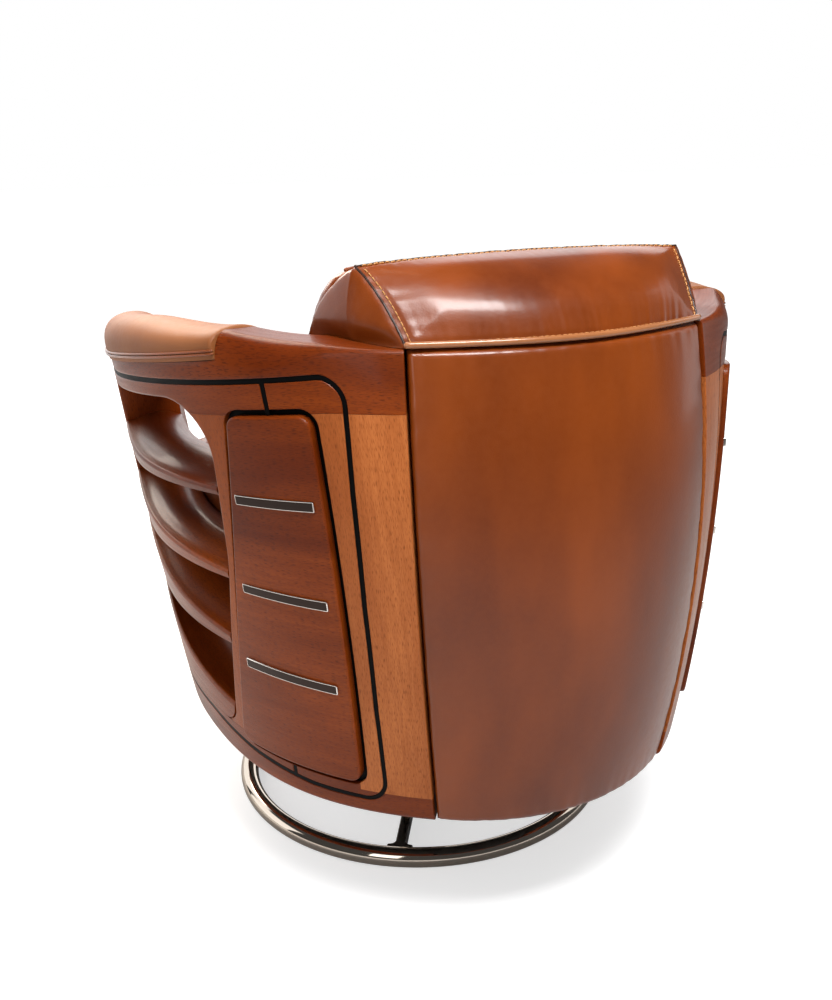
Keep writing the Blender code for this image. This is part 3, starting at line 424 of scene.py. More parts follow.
def metal_finish(name, colour, roughness, smudge=0.05):
    """Polished metal, a little uneven where it was handled."""
    material, tree, shader = new_finish(name, roughness, metallic=1.0)
    place = object_place(tree)
    cloud = noise_at(tree, place, 14.0, 4.0, 0.6)
    fine = noise_at(tree, place, 260.0, 2.0)
    darker = tuple(0.86 * value for value in colour)
    give(tree, shader, mixed(tree, cloud, darker, colour),
         ranged(tree, cloud, 0.3, 0.7, roughness, roughness + smudge))
    relief(tree, shader, fine, 0.00002, 0.12)
    return material


def plain_finish(name, colour, roughness, specular=0.5, scale=60.0):
    """A lacquer or a bare board with a slight unevenness."""
    material, tree, shader = new_finish(name, roughness, specular=specular)
    cloud = noise_at(tree, scaled(tree, object_place(tree), (1.0, 0.12, 1.0)), scale, 4.0, 0.6)
    darker = tuple(0.72 * value for value in colour)
    give(tree, shader, mixed(tree, cloud, darker, colour),
         ranged(tree, cloud, 0.3, 0.7, roughness - 0.05, roughness + 0.08))
    relief(tree, shader, cloud, 0.0002, 0.25)
    return material


CHROME = metal_finish("ring_chrome", (0.62, 0.54, 0.46), 0.05)
BRIGHT_CHROME = metal_finish("strip_chrome", (0.85, 0.80, 0.75), 0.12)
# The spokes' chrome is painted dark: a painted reflection of the dark surroundings that their flat tops
# mirror.
SPOKE_CHROME_PAINTED_DARK = metal_finish("spoke_chrome_painted_dark", (0.150, 0.130, 0.115), 0.05)
# The strips' faces are chrome painted near black: a painted reflection of dark surroundings.
STRIP_FACE_PAINTED_REFLECTION = metal_finish("strip_face_painted_dark_reflection", (0.040, 0.030, 0.027), 0.05)
STEEL = metal_finish("plate_steel", (0.32, 0.32, 0.33), 0.32, 0.12)
BLACK = plain_finish("black_lacquer", (0.0012, 0.0011, 0.0011), 0.45, 0.06, 90.0)
PLYWOOD = plain_finish("plywood", (0.50, 0.36, 0.20), 0.62)
LINING = plain_finish("dark_lining", (0.040, 0.013, 0.006), 0.80)
DARK_BOARD = plain_finish("underside_black", (0.012, 0.011, 0.011), 0.75)
print("metals and boards:", [each.name for each in (CHROME, BRIGHT_CHROME, SPOKE_CHROME_PAINTED_DARK, STRIP_FACE_PAINTED_REFLECTION,
                                                    STEEL, BLACK, PLYWOOD, LINING, DARK_BOARD)])

# %% [markdown]
# ## Making flat boards
# A wooden piece starts as an outline, pushed out to a solid. Exact booleans cut it, as a router
# would. Then it is sliced finely and every point is bent onto the skin, so its facets follow
# the curve. A cutter whose outline grows near the skin leaves a rounded edge, which no bevel has
# to find afterwards. The left arm is made this way, and the right arm is its mirror image.

# %% Outlines and flat solids
TURN_STEP = along(1.5)                  # slices round the tub
RISE_STEP = 0.0145                      # and up it
END_FREE = 0.0005                       # no slice is this near to an end
FLAT_ANGLE = math.radians(0.3)          # faces this near to one plane are merged first
PLANES = {"uz": (0, 2, 1), "dz": (1, 2, 0), "ud": (0, 1, 2)}


def rounded(corners, steps=6):
    """A closed outline: each corner is (x, y, radius)."""
    outline = []
    for i, (x, y, radius) in enumerate(corners):
        if radius == 0:
            outline.append((x, y))
            continue
        here = Vector((x, y))
        way_in = (Vector(corners[i - 1][:2]) - here).normalized()
        way_out = (Vector(corners[(i + 1) % len(corners)][:2]) - here).normalized()
        half = 0.5 * way_in.angle(way_out)
        centre = here + (way_in + way_out).normalized() * (radius / math.sin(half))
        start = here + way_in * (radius / math.tan(half)) - centre
        end = here + way_out * (radius / math.tan(half)) - centre
        first = math.atan2(start.y, start.x)
        turn = (math.atan2(end.y, end.x) - first + math.pi) % math.tau - math.pi
        for k in range(steps + 1):
            angle = first + turn * k / steps
            outline.append((centre.x + radius * math.cos(angle), centre.y + radius * math.sin(angle)))
    return outline


def placed(name, data):
    """A new object in the scene."""
    item = bpy.data.objects.new(name, data)
    bpy.context.scene.collection.objects.link(item)
    return item


def keep_modified(piece):
    """Give a piece the mesh that its modifiers make, and drop them."""
    bpy.context.view_layer.update()
    graph = bpy.context.evaluated_depsgraph_get()
    mesh = bpy.data.meshes.new_from_object(piece.evaluated_get(graph))
    piece.modifiers.clear()
    piece.data = mesh


def solid_from(rings, name="flat"):
    """A closed object through rings of equal count, with flat ends."""
    bm = bmesh.new()
    rows = [[bm.verts.new(point) for point in ring] for ring in rings]
    for low, high in zip(rows, rows[1:]):
        for k in range(len(low)):
            bm.faces.new((low[k - 1], low[k], high[k], high[k - 1]))
    bm.faces.new(rows[0])
    bm.faces.new(rows[-1])
    bmesh.ops.recalc_face_normals(bm, faces=bm.faces)
    if bm.calc_volume(signed=True) < 0:
        bmesh.ops.reverse_faces(bm, faces=bm.faces)
    mesh = bpy.data.meshes.new(name)
    bm.to_mesh(mesh)
    bm.free()
    return placed(name, mesh)


def loft(levels, plane):
    """A solid through outlines at levels of the axis that the plane leaves free."""
    first, second, third = PLANES[plane]
    rings = []
    for level, outline in levels:
        ring = np.zeros((len(outline), 3))
        ring[:, [first, second]] = outline
        ring[:, third] = level
        rings.append([tuple(point) for point in ring])
    return solid_from(rings)


def prism(outline, start, end, plane):
    """An outline pushed straight out."""
    return loft([(start, outline), (end, outline)], plane)


def combine(solid, tool, operation="DIFFERENCE"):
    """Apply one exact boolean and throw the tool away."""
    modifier = solid.modifiers.new("combine", "BOOLEAN")
    modifier.operation = operation
    modifier.solver = "EXACT"
    modifier.object = tool
    keep_modified(solid)
    bpy.data.objects.remove(tool)


print("flat solids ready")

# %% [markdown]
# A lattice or a curve modifier could bend a board, but neither follows this skin exactly. Here
# the skin's own formula moves each point, once there are enough slices for the board to curve.

# %% Bending and finishing
OTHER_BOARD = np.array([3.7, 0.0, 1.9])     # how far off in the wood the right arm is cut
SHARP_ANGLE = math.radians(38.0)


def points_of(mesh):
    """A mesh's points as an array."""
    points = np.zeros(len(mesh.vertices) * 3, np.float32)
    mesh.vertices.foreach_get("co", points)
    return points.reshape(-1, 3).astype(float)


def set_points(mesh, points):
    """Give a mesh new points."""
    mesh.vertices.foreach_set("co", np.asarray(points, np.float32).ravel())
    mesh.update()


def remember_place(mesh, places):
    """Keep each point's place in the flat board, for the grain."""
    kept = mesh.attributes.get("place") or mesh.attributes.new("place", "FLOAT_VECTOR", "POINT")
    kept.data.foreach_set("vector", np.asarray(places, np.float32).ravel())


def bend(flat, name):
    """Slice a flat solid finely and bend it onto the skin."""
    bm = bmesh.new()
    bm.from_mesh(flat.data)
    bpy.data.objects.remove(flat)
    bmesh.ops.dissolve_limit(bm, angle_limit=FLAT_ANGLE, verts=bm.verts, edges=bm.edges)
    for axis, step in ((0, TURN_STEP), (2, RISE_STEP)):
        low = min(v.co[axis] for v in bm.verts)
        high = max(v.co[axis] for v in bm.verts)
        for k in range(math.ceil(low / step), math.ceil(high / step)):
            if not low + END_FREE < k * step < high - END_FREE:
                continue
            place, normal = [0.0] * 3, [0.0] * 3
            place[axis], normal[axis] = k * step, 1.0
            everything = bm.verts[:] + bm.edges[:] + bm.faces[:]
            bmesh.ops.bisect_plane(bm, geom=everything, dist=1e-6, plane_co=place, plane_no=normal)
    many = [face for face in bm.faces if len(face.verts) > 4]
    bmesh.ops.triangulate(bm, faces=many)
    mesh = bpy.data.meshes.new(name)
    bm.to_mesh(mesh)
    bm.free()
    places = points_of(mesh)
    remember_place(mesh, places)
    set_points(mesh, on_barrel(places))
    return placed(name, mesh)


def mirrored(piece, name):
    """The same piece on the sitter's right, cut from another board."""
    mesh = piece.data.copy()
    points = points_of(mesh)
    points[:, 0] *= -1
    set_points(mesh, points)
    mesh.flip_normals()
    if "place" in mesh.attributes:
        places = np.zeros(len(mesh.vertices) * 3, np.float32)
        mesh.attributes["place"].data.foreach_get("vector", places)
        remember_place(mesh, places.reshape(-1, 3) + OTHER_BOARD)
    return placed(name, mesh)


def dress(piece, finish, body, slot, *nodes, even_normals=True):
    """Give a piece its finish and its body, and let it stand for its CAD nodes."""
    piece.data.materials.clear()
    piece.data.materials.append(finish)
    piece.data.shade_smooth()
    if even_normals:
        piece.data.set_sharp_from_angle(angle=SHARP_ANGLE)
        weighted = piece.modifiers.new("even normals", "WEIGHTED_NORMAL")
        weighted.keep_sharp = True
        weighted.weight = 100
    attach(piece, body)
    if nodes:
        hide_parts(*nodes)


def dress_pair(piece, node, finish, slot, word="wood"):
    """Finish a left piece and its mirror image, which stand for NODE_left and NODE_right."""
    piece.name = f"{node}_left_{word}"
    twin = mirrored(piece, f"{node}_right_{word}")
    for each, label in ((piece, "left"), (twin, "right")):
        dress(each, finish, "seat", slot, f"{node}_{label}")
    print(node, "pair:", len(piece.data.polygons), "faces each")


def dress_leather(piece, finish, node=None):
    """Finish one piece of leather or thread on the seat."""
    nodes = (node,) if node else ()
    dress(piece, finish, "seat", "leather", *nodes, even_normals=False)
    print(piece.name, "has", len(piece.data.polygons), "faces")


print("board helpers ready")

# %% [markdown]
# ## The wooden arms
# Each arm is a frame: a rail on top, a band at the foot, a post in front, a post in the middle
# and a stile beside the leather. It is routed right through for the shelves. The rounded edge of
# that opening runs unbroken over rail and posts, so one flared cutter makes it in all three.

# %% Sizes of the arm
GAP, SNUG = 0.0003, 0.00012             # between pieces that touch, and between fitted wood
ARM_FRONT, POST_BACK, UNDER_OPENING = -42.0, -24.0, 12.0    # plan angles, 0 is the arm's middle
BACK_JOINT = (60.6, 59.8, 62.5)         # at the bottom, the middle and the top
ARM_THICK, ABOVE_ARM = 0.075, 0.8
RAIL_UNDER = 0.622
RAIL_ROUND = (0.022, 0.020)             # radii of its outer and inner top edge
RAIL_CRISP, RAIL_CRISP_FROM_TO = 0.005, (38.0, 58.0)    # the outer one beside the leather back
BAND_TOP, SHELF_BED = 0.1865, 0.205
STILE_THICK, STILE_LAP = 0.045, 0.004
JOINT_GAP, JOINT_EASE = 0.0015, 0.0008
BEYOND_JOINT = 80.0
THROUGH = (-0.02, 0.095)                # depths outside and inside the arm, for cutters
PAD_BACK, PAD_SLANT, PAD_SEAT, PAD_TOP = 32.5, 0.30, 0.672, 0.693
PAD_LOWER, PAD_NARROWER, PAD_PROUD, PAD_WELTS = 0.36, 0.10, 0.004, 0.0048
PAD_DEEPER, PAD_DEEPER_AHEAD = 0.002, 0.006     # how far its foot sits below PAD_SEAT
SHELF_LIPS = (0.536, 0.428, 0.335, 0.228)
SHELF_RISES, RISE_INSIDE, SHELF_REAR = (0.029, 0.052, 0.074, 0.080), 0.55, 40.0
OPENING_EDGE = ((0.205, 17.3), (0.440, 25.2), (0.638, 27.9))    # heights and angles of its rear
OPENING_CORNERS = (0.030, 0.30, 0.068)  # its corner radii: foot, bend, head
OPENING_ROUND = 0.0040                  # radius of its edges
PANEL_FOOT, PANEL_HEAD = 0.199, 0.6215
PANEL_FRONT_FOOT, PANEL_FRONT_HEAD, PANEL_REAR = 20.9, 32.9, 47.2
PANEL_PROUD, PANEL_THICK, PANEL_GAP, PANEL_CORNER = 0.006, 0.012, 0.0065, 0.014
PANEL_ROUND, PANEL_GAP_EASE = 0.0030, 0.0008
LINE_WIDE, LINE_DEEP, LINE_SUNK = 0.0056, 0.0035, 0.0004
LINE_EASE, GROOVE_EASE = 0.0004, 0.0006
LINE_TOP, LINE_FOOT = 0.6575, 0.176
LINE_BACK_AT = (0.30, 0.42, 0.54)
LINE_CLIMB = ((8.0, 0.1975), (22.0, 0.1850), (37.0, 0.1765))
LINE_BACK = (51.6, 51.1, 53.2)
LINE_CORNER, LINE_START = 0.026, 0.022
TICK_TOP, TICK_FOOT = 40.2, 33.0


def opening_outline(grow=0.0):
    """The shelf opening in u and z, its rear edge leaning back to a round top corner."""
    (low, foot), (bend_z, bend_angle), (high, head) = OPENING_EDGE
    front = along(POST_BACK) - grow
    foot_round, bend_round, head_round = OPENING_CORNERS
    return rounded([(front, low - grow, 0), (along(foot) + grow, low - grow, foot_round),
                    (along(bend_angle) + grow, bend_z, bend_round),
                    (along(head) + grow, high + grow, head_round), (front, high + grow, 0)], steps=14)


def panel_outline(grow=0.0):
    """The raised panel in u and z: narrower at its top, with round corners."""
    low, high = PANEL_FOOT - grow, PANEL_HEAD + grow
    return rounded([(along(PANEL_FRONT_FOOT) - grow, low, PANEL_CORNER + grow),
                    (along(PANEL_REAR) + grow, low, PANEL_CORNER + grow),
                    (along(PANEL_REAR) + grow, high, PANEL_CORNER + grow),
                    (along(PANEL_FRONT_HEAD) - grow, high, PANEL_CORNER + grow)], steps=8)


def flare(radius, start, way):
    """How a cutter grows over a rounded edge: pairs of depth and growth, from the wall outwards."""
    pairs = []
    for k in range(6):
        lean = math.radians(15 * k)
        pairs.append((start + way * radius * (1 - math.sin(lean)), radius * (1 - math.cos(lean))))
    depth, grow = pairs[-1]
    pairs.append((start - way * 0.001, grow + (abs(depth - start) + 0.001) * math.tan(math.radians(75))))
    return pairs


def flared_cutter(outline_at, radius, base=0.0, inner=True):
    """A cutter through the arm that leaves its outer edge rounded, and the inner one if asked."""
    outer = flare(radius, 0.0, 1)[::-1]
    rear = flare(radius, ARM_THICK, -1) if inner else [(THROUGH[1], 0.0)]
    return loft([(depth, outline_at(base + grow)) for depth, grow in outer + rear], "uz")


def cut_opening(board):
    """Cut a board to the shelf opening."""
    combine(board, flared_cutter(opening_outline, OPENING_ROUND))


def cut_panel(board):
    """Cut a board to the gap round the panel."""
    combine(board, flared_cutter(panel_outline, PANEL_GAP_EASE, PANEL_GAP, inner=False))


print("opening outline:", len(opening_outline()), "points, panel outline:", len(panel_outline()), "points")

# %% [markdown]
# The arm ends in a round nose, meets the leather in a slight curve, and carries a black line
# that runs over three boards. All boards are cut with the same shapes, so that they meet again.

# %% Cuts at the nose, at the back joint and for the black line


def cut_nose(board, low, high):
    """Cut an arm's front end round in plan, between heights that reach past the board."""
    front, radius = along(ARM_FRONT), 0.5 * ARM_THICK
    turns = [math.pi * k / 24 for k in range(25)]
    nose = [(front + radius - radius * math.sin(a), radius - radius * math.cos(a)) for a in turns]
    outline = [(front + radius, -0.02), (front - 0.02, -0.02), (front - 0.02, ARM_THICK + 0.02),
               (front + radius, ARM_THICK + 0.02)] + nose[::-1]
    combine(board, prism(outline, low, high, "ud"))


def cut_joint(board, low, high):
    """Cut away what is behind the joint with the leather back, the outer edge eased."""
    heights = np.linspace(low, high, 13)
    levels = []
    for depth, ease in ((THROUGH[0], JOINT_EASE), (0.0, JOINT_EASE), (0.0010, 0.0), (THROUGH[1], 0.0)):
        edge = [(along(through_three(BACK_JOINT, z)) - JOINT_GAP - ease, z) for z in heights]
        levels.append((depth, edge + [(along(BEYOND_JOINT), high), (along(BEYOND_JOINT), low)]))
    combine(board, loft(levels, "uz"))


def line_edge(shift):
    """One edge of the black line, from the front of its foot round to the front of its top."""
    front = along(ARM_FRONT) + LINE_START
    foot = [(along(angle), z - shift, 0) for angle, z in LINE_CLIMB]
    back = [(along(through_three(LINE_BACK, z)) + shift, z, 0) for z in LINE_BACK_AT]
    low_corner, high_corner = [(along(through_three(LINE_BACK, z)) + shift, z + way * shift,
                                LINE_CORNER + shift) for z, way in ((LINE_FOOT, -1), (LINE_TOP, 1))]
    return rounded([(front, foot[0][1], 0)] + foot + [low_corner] + back + [high_corner]
                   + [(front, LINE_TOP + shift, 0)], steps=10)


def line_parts(levels):
    """The black line and its two ticks as solids, each level a depth and half a width."""
    parts = [loft([(depth, line_edge(half) + line_edge(-half)[::-1]) for depth, half in levels], "uz")]
    for angle, low, high in ((TICK_TOP, RAIL_UNDER + 2 * GAP, LINE_TOP),
                             (TICK_FOOT, LINE_FOOT, PANEL_FOOT - PANEL_GAP - GAP)):
        parts.append(loft([(depth, [(along(angle) - half, low), (along(angle) + half, low),
                                    (along(angle) + half, high), (along(angle) - half, high)])
                           for depth, half in levels], "uz"))
    return parts


def cut_groove(board):
    """Cut the groove for the black line into a board, its edges eased."""
    half = 0.5 * LINE_WIDE
    wide = half + GROOVE_EASE
    for part in line_parts([(-0.004, wide), (0.0, wide), (GROOVE_EASE, half), (LINE_DEEP + GAP, half)]):
        combine(board, part)


print("cuts ready, the line's foot climbs", LINE_CLIMB[0][1] - LINE_CLIMB[-1][1], "m")

# %% [markdown]
# The rail is drawn as a section, rounded over on both top edges, and run along the arm. Then it
# is notched for the pad, cut to the opening, the panel and the groove, bent, and cut once more
# in the chair where the headrest stands on it.

# %% The arm rail
HEADREST_FOOT, HEADREST_EDGE, HEADREST_HALF = 0.6845, 0.760, 0.174
HEADREST_BACK, HEADREST_SPREAD, HEADREST_RISE = 0.360, 0.434, 0.005
BACK_BOARD_Y = 0.2280
END_GAP = 0.0010


def headrest_half(y):
    """Half the headrest's width at its foot."""
    return HEADREST_HALF + HEADREST_SPREAD * (HEADREST_BACK - y)


def pad_seat(u):
    """How high the pad's foot is: lower towards the front."""
    return PAD_SEAT - PAD_DEEPER - PAD_DEEPER_AHEAD * between(u, along(PAD_BACK), along(ARM_FRONT))


def arm_rail():
    """The left rail of the arm."""
    outer_round, inner_round = RAIL_ROUND
    front = along(ARM_FRONT)
    rings = []
    for angle in (ARM_FRONT, *np.linspace(*RAIL_CRISP_FROM_TO, 12), BEYOND_JOINT):
        crisp = smooth_step(between(angle, *RAIL_CRISP_FROM_TO))
        edge_round = outer_round + (RAIL_CRISP - outer_round) * crisp
        section = rounded([(0, RAIL_UNDER + SNUG, 0), (0, RAIL_TOP, edge_round),
                           (ARM_THICK, RAIL_TOP, inner_round), (ARM_THICK, RAIL_UNDER + SNUG, 0)], steps=12)
        rings.append([(along(angle), depth, z) for depth, z in section])
    rail = solid_from(rings)
    cut_nose(rail, 0.5, ABOVE_ARM)
    notch = [(along(PAD_BACK) + PAD_SLANT * depth, depth) for depth in THROUGH]
    notch += [(front - 0.01, depth) for depth in reversed(THROUGH)]
    combine(rail, solid_from([[(u, depth, pad_seat(u)) for u, depth in notch],
                              [(u, depth, ABOVE_ARM) for u, depth in notch]]))
    cut_joint(rail, 0.55, 0.75)
    cut_opening(rail)
    cut_panel(rail)
    cut_groove(rail)
    piece = bend(rail, "arm_rail_left_wood")
    near, far = BACK_BOARD_Y - END_GAP, HEADREST_BACK + 0.02
    seat = [(0.05, near), (headrest_half(near) + 2 * END_GAP, near),
            (headrest_half(far) + 2 * END_GAP, far), (0.05, far)]
    combine(piece, solid_from([[(x, y, z) for x, y in seat] for z in (HEADREST_FOOT - END_GAP, ABOVE_ARM)]))
    remember_place(piece.data, unbend(points_of(piece.data)))
    return piece


dress_pair(arm_rail(), "arm_rail", MAHOGANY, "mahogany")

# %% [markdown]
# The band closes the arm at its foot. Its section is pushed straight along the flat arm and
# bent with it, as a long strip of wood is bent over a mould.

# %% The band at the foot


def bottom_band():
    """The left band, its lower edge rounded, stepped up behind the panel for the stile."""
    front, rear = along(ARM_FRONT), along(BEYOND_JOINT)
    section = rounded([(0, HEIGHT_BOTTOM, 0.007), (ARM_THICK, HEIGHT_BOTTOM, 0.004),
                       (ARM_THICK, SHELF_BED - SNUG, 0), (0, SHELF_BED - SNUG, 0)], steps=8)
    band = prism(section, front, rear, "dz")
    step = along(PANEL_REAR) - STILE_LAP - SNUG
    combine(band, prism([(step, BAND_TOP), (rear + 0.01, BAND_TOP), (rear + 0.01, 0.25), (step, 0.25)],
                        *THROUGH, "uz"))
    cut_panel(band)
    cut_nose(band, 0.1, 0.3)
    cut_joint(band, 0.1, 0.25)
    cut_groove(band)
    return bend(band, "bottom_rail_left_wood")


dress_pair(bottom_band(), "bottom_rail", MAHOGANY, "mahogany")

# %% [markdown]
# The uprights stand between rail and band, and their grain runs up. They are plain boards,
# shaped only by the opening, the panel's gap, the nose and the back joint.

# %% The three uprights


def front_post():
    """The left post in front of the shelves."""
    front, back = along(ARM_FRONT), along(POST_BACK) + 0.006
    low, high = SHELF_BED + SNUG, RAIL_UNDER - SNUG
    post = prism([(front, low), (back, low), (back, high), (front, high)], 0, ARM_THICK, "uz")
    cut_nose(post, 0.1, ABOVE_ARM)
    cut_opening(post)
    return bend(post, "front_post_left_wood")


def middle_post():
    """The left post between the shelves and the panel."""
    low, high = SHELF_BED + SNUG, RAIL_UNDER - SNUG
    foot, head = along(PANEL_FRONT_FOOT) + STILE_LAP, along(PANEL_FRONT_HEAD) + STILE_LAP
    near = along(UNDER_OPENING)
    post = prism([(near, low), (foot, low), (head, high), (near, high)], 0, ARM_THICK, "uz")
    cut_opening(post)
    cut_panel(post)
    return bend(post, "middle_post_left_wood")


def rear_stile():
    """The left stile beside the leather back."""
    edge, rear = along(PANEL_REAR) - STILE_LAP, along(BEYOND_JOINT)
    low, high = BAND_TOP + SNUG, RAIL_UNDER - SNUG
    stile = prism([(edge, low), (rear, low), (rear, high), (edge, high)], 0, STILE_THICK, "uz")
    cut_panel(stile)
    cut_joint(stile, 0.15, 0.7)
    cut_groove(stile)
    return bend(stile, "rear_stile_left_wood")


dress_pair(front_post(), "front_post", MAHOGANY_UPRIGHT, "mahogany")
dress_pair(middle_post(), "middle_post", MIDDLE_WOOD, "stile_wood")
dress_pair(rear_stile(), "rear_stile", STILE_WOOD, "stile_wood")

# %% [markdown]
# A shelf is carved, not flat: a round lip at the skin, a hollow behind it, then a slow swell to
# its inner edge. Its section is a smooth curve through a few heights, and its top sweeps up to the
# front post. The lowest one is a hollow at the foot of the opening that starts flush with the band.

# %% The shelves


def smooth_through(points, steps=5):
    """A Catmull-Rom curve through points, as a list of points."""
    points = [Vector(p) for p in points]
    ends = [2 * points[0] - points[1]] + points + [2 * points[-1] - points[-2]]
    curve = []
    for before, here, after, beyond in zip(ends, ends[1:], ends[2:], ends[3:]):
        for k in range(steps):
            t = k / steps
            curve.append(0.5 * (2 * here + (after - before) * t
                                + (2 * before - 5 * here + 4 * after - beyond) * t * t
                                + (3 * here - before - 3 * after + beyond) * t ** 3))
    return [tuple(p) for p in curve + [points[-1]]]


def shelf_section(lip):
    """A shelf in depth and z, and how many points are on top: a round lip, then a slow rise."""
    top = [(0.0, lip - 0.006), (0.0015, lip - 0.0015), (0.005, lip), (0.012, lip + 0.003),
           (0.026, lip + 0.012), (0.042, lip + 0.019), (0.058, lip + 0.021), (0.0735, lip + 0.017),
           (ARM_THICK, lip + 0.014)]
    under = [(ARM_THICK, lip + 0.006), (0.058, lip + 0.009), (0.040, lip + 0.006),
             (0.022, lip - 0.004), (0.008, lip - 0.010), (0.002, lip - 0.010)]
    top = smooth_through(top, 4)
    return top + smooth_through(under, 4), len(top)


def scoop_section():
    """The bottom shelf in the same way: a hollow that starts at the skin."""
    lip = SHELF_LIPS[-1]
    top = [(0.0, lip - 0.006), (0.003, lip), (0.012, lip - 0.002), (0.030, lip - 0.002),
           (0.048, lip + 0.006), (0.062, lip + 0.024), (0.071, lip + 0.052), (ARM_THICK, lip + 0.060)]
    top = smooth_through(top, 5)
    return top + [(ARM_THICK, SHELF_BED + SNUG), (0.0, SHELF_BED + SNUG)], len(top)


def rising(section, tops, angle, climb):
    """A shelf's section at an angle, its top lifted towards the front post."""
    ahead = between(angle, SHELF_REAR, POST_BACK) ** 2
    ring = []
    for k, (depth, z) in enumerate(section):
        share = 1 - (1 - RISE_INSIDE) * depth / ARM_THICK
        ring.append((along(angle), depth, z + (climb * ahead * share if k < tops else 0.0)))
    return ring


for number, (lip, climb) in enumerate(zip(SHELF_LIPS, SHELF_RISES), start=1):
    section, tops = scoop_section() if number == len(SHELF_LIPS) else shelf_section(lip)
    angles = np.linspace(POST_BACK - 0.6, SHELF_REAR, 28)
    shelf = solid_from([rising(section, tops, angle, climb) for angle in angles])
    combine(shelf, prism(opening_outline(-SNUG), *THROUGH, "uz"), "INTERSECT")
    shelf = bend(shelf, f"shelf_{number}_left_wood")
    dress_pair(shelf, f"shelf_{number}", MAHOGANY, "mahogany")

# %% [markdown]
# The panel stands a little proud of the arm with a soft edge all round and a black gap outside
# it. Each of its three strips is a bright metal rim with a near-black metal face let into it; that
# face's colour is a painted reflection of dark surroundings in the chrome.

# %% The panel, its bed and its strips
PANEL_BED_THICK = 0.012
STRIP_LINES = ((0.528, 31.7, 45.9), (0.418, 29.4, 45.6), (0.318, 26.9, 45.2))   # height, start, end
STRIP_HIGH, STRIP_THICK, STRIP_RIM, STRIP_EASE = 0.0115, 0.0025, 0.0010, 0.0005
# The face's near-black colour is painted reflection, not the chrome's own colour.
FACE_THICK, FACE_FREE = 0.0004, 0.00005     # the dark face, and the slit round it


def raised_panel():
    """The left panel, its edge rounded."""
    levels = []
    for k in range(7):
        lean = math.radians(15 * k)
        levels.append((-PANEL_PROUD + PANEL_ROUND * (1 - math.cos(lean)),
                       panel_outline(-PANEL_ROUND * (1 - math.sin(lean)))))
    levels.append((PANEL_THICK - PANEL_PROUD, panel_outline()))
    return bend(loft(levels, "uz"), "side_panel_left_wood")


def strip_outline(start, end, z, inset=0.0):
    """A strip in u and z, its ends a little rounded."""
    half, low, high = 0.5 * STRIP_HIGH - inset, along(start) + inset, along(end) - inset
    radius = max(0.0018 - inset, 0.0006)
    return rounded([(low, z - half, radius), (high, z - half, radius), (high, z + half, radius),
                    (low, z + half, radius)], steps=4)


def strip(start, end, z):
    """A strip's bright rim, as a tray, and the face in it, near black with painted reflection."""
    skin = -PANEL_PROUD - GAP
    proud = skin - STRIP_THICK
    outline = strip_outline(start, end, z)
    rim = loft([(skin, outline), (proud + STRIP_EASE, outline),
                (proud, strip_outline(start, end, z, STRIP_EASE))], "uz")
    combine(rim, prism(strip_outline(start, end, z, STRIP_RIM), proud - 0.001, proud + FACE_THICK, "uz"))
    face = prism(strip_outline(start, end, z, STRIP_RIM + FACE_FREE), proud + 0.00015,
                 proud + FACE_THICK, "uz")
    return bend(rim, "rim"), bend(face, "face")


dress_pair(raised_panel(), "side_panel", MAHOGANY, "mahogany")
bed = prism(panel_outline(PANEL_GAP - SNUG), PANEL_THICK - PANEL_PROUD + GAP,
            PANEL_THICK - PANEL_PROUD + PANEL_BED_THICK, "uz")
dress_pair(bend(bed, "panel_bed_left"), "panel_bed", BLACK, "black_line", "lacquer")
for number, (z, start, end) in enumerate(STRIP_LINES, start=1):
    rim, face = strip(start, end, z)
    dress_pair(rim, f"chrome_strip_{number}", BRIGHT_CHROME, "chrome", "rim")
    face.name = f"chrome_strip_{number}_left_face"
    # Each face is painted reflection: chrome coloured near black, as the strip mirrors dark surroundings.
    for each in (face, mirrored(face, f"chrome_strip_{number}_right_face")):
        dress(each, STRIP_FACE_PAINTED_REFLECTION, "seat", "chrome")

half = 0.5 * LINE_WIDE - SNUG
line, *ticks = line_parts([(LINE_SUNK, half - LINE_EASE), (LINE_SUNK + LINE_EASE, half), (LINE_DEEP, half)])
for tick in ticks:
    combine(line, tick, "UNION")
dress_pair(bend(line, "black_line_left"), "black_line", BLACK, "black_line", "inlay")

# %% [markdown]
# ## Upholstery
# Leather over foam has three marks that plain solids lack: its faces swell between the seams, it
# is pulled in at each seam, and there it puckers. The helpers below build a face as a fine grid
# and add those marks as a relief along its normals. Thread is a row of small capsules, and piping
# is a thin tube along the seam.

# %% Grids, tubes and stitches
PIPING_SPACING = 0.004
STITCH_RADIUS, STITCH_LENGTH, STITCH_PITCH, STITCH_LIFT = 0.0007, 0.0046, 0.0064, 0.0003


def mesh_piece(name, points, faces):
    """An object from points and faces, closed and facing outwards."""
    mesh = bpy.data.meshes.new(name)
    mesh.from_pydata([tuple(p) for p in points], [], faces)
    bm = bmesh.new()
    bm.from_mesh(mesh)
    bmesh.ops.remove_doubles(bm, verts=bm.verts, dist=1e-6)
    bmesh.ops.recalc_face_normals(bm, faces=bm.faces)
    bm.to_mesh(mesh)
    bm.free()
    return placed(name, mesh)


def ring_piece(name, rings):
    """A closed piece through rings of points, all of the same count."""
    rings = np.asarray(rings, float)
    return mesh_piece(name, rings.reshape(-1, 3), ring_faces(*rings.shape[:2]))


def grid_normals(grid):
    """Unit normals of a grid of points, from its two directions."""
    across = np.gradient(grid, axis=0)
    up = np.gradient(grid, axis=1)
    normal = np.cross(across, up)
    return normal / np.maximum(np.linalg.norm(normal, axis=-1, keepdims=True), 1e-12)


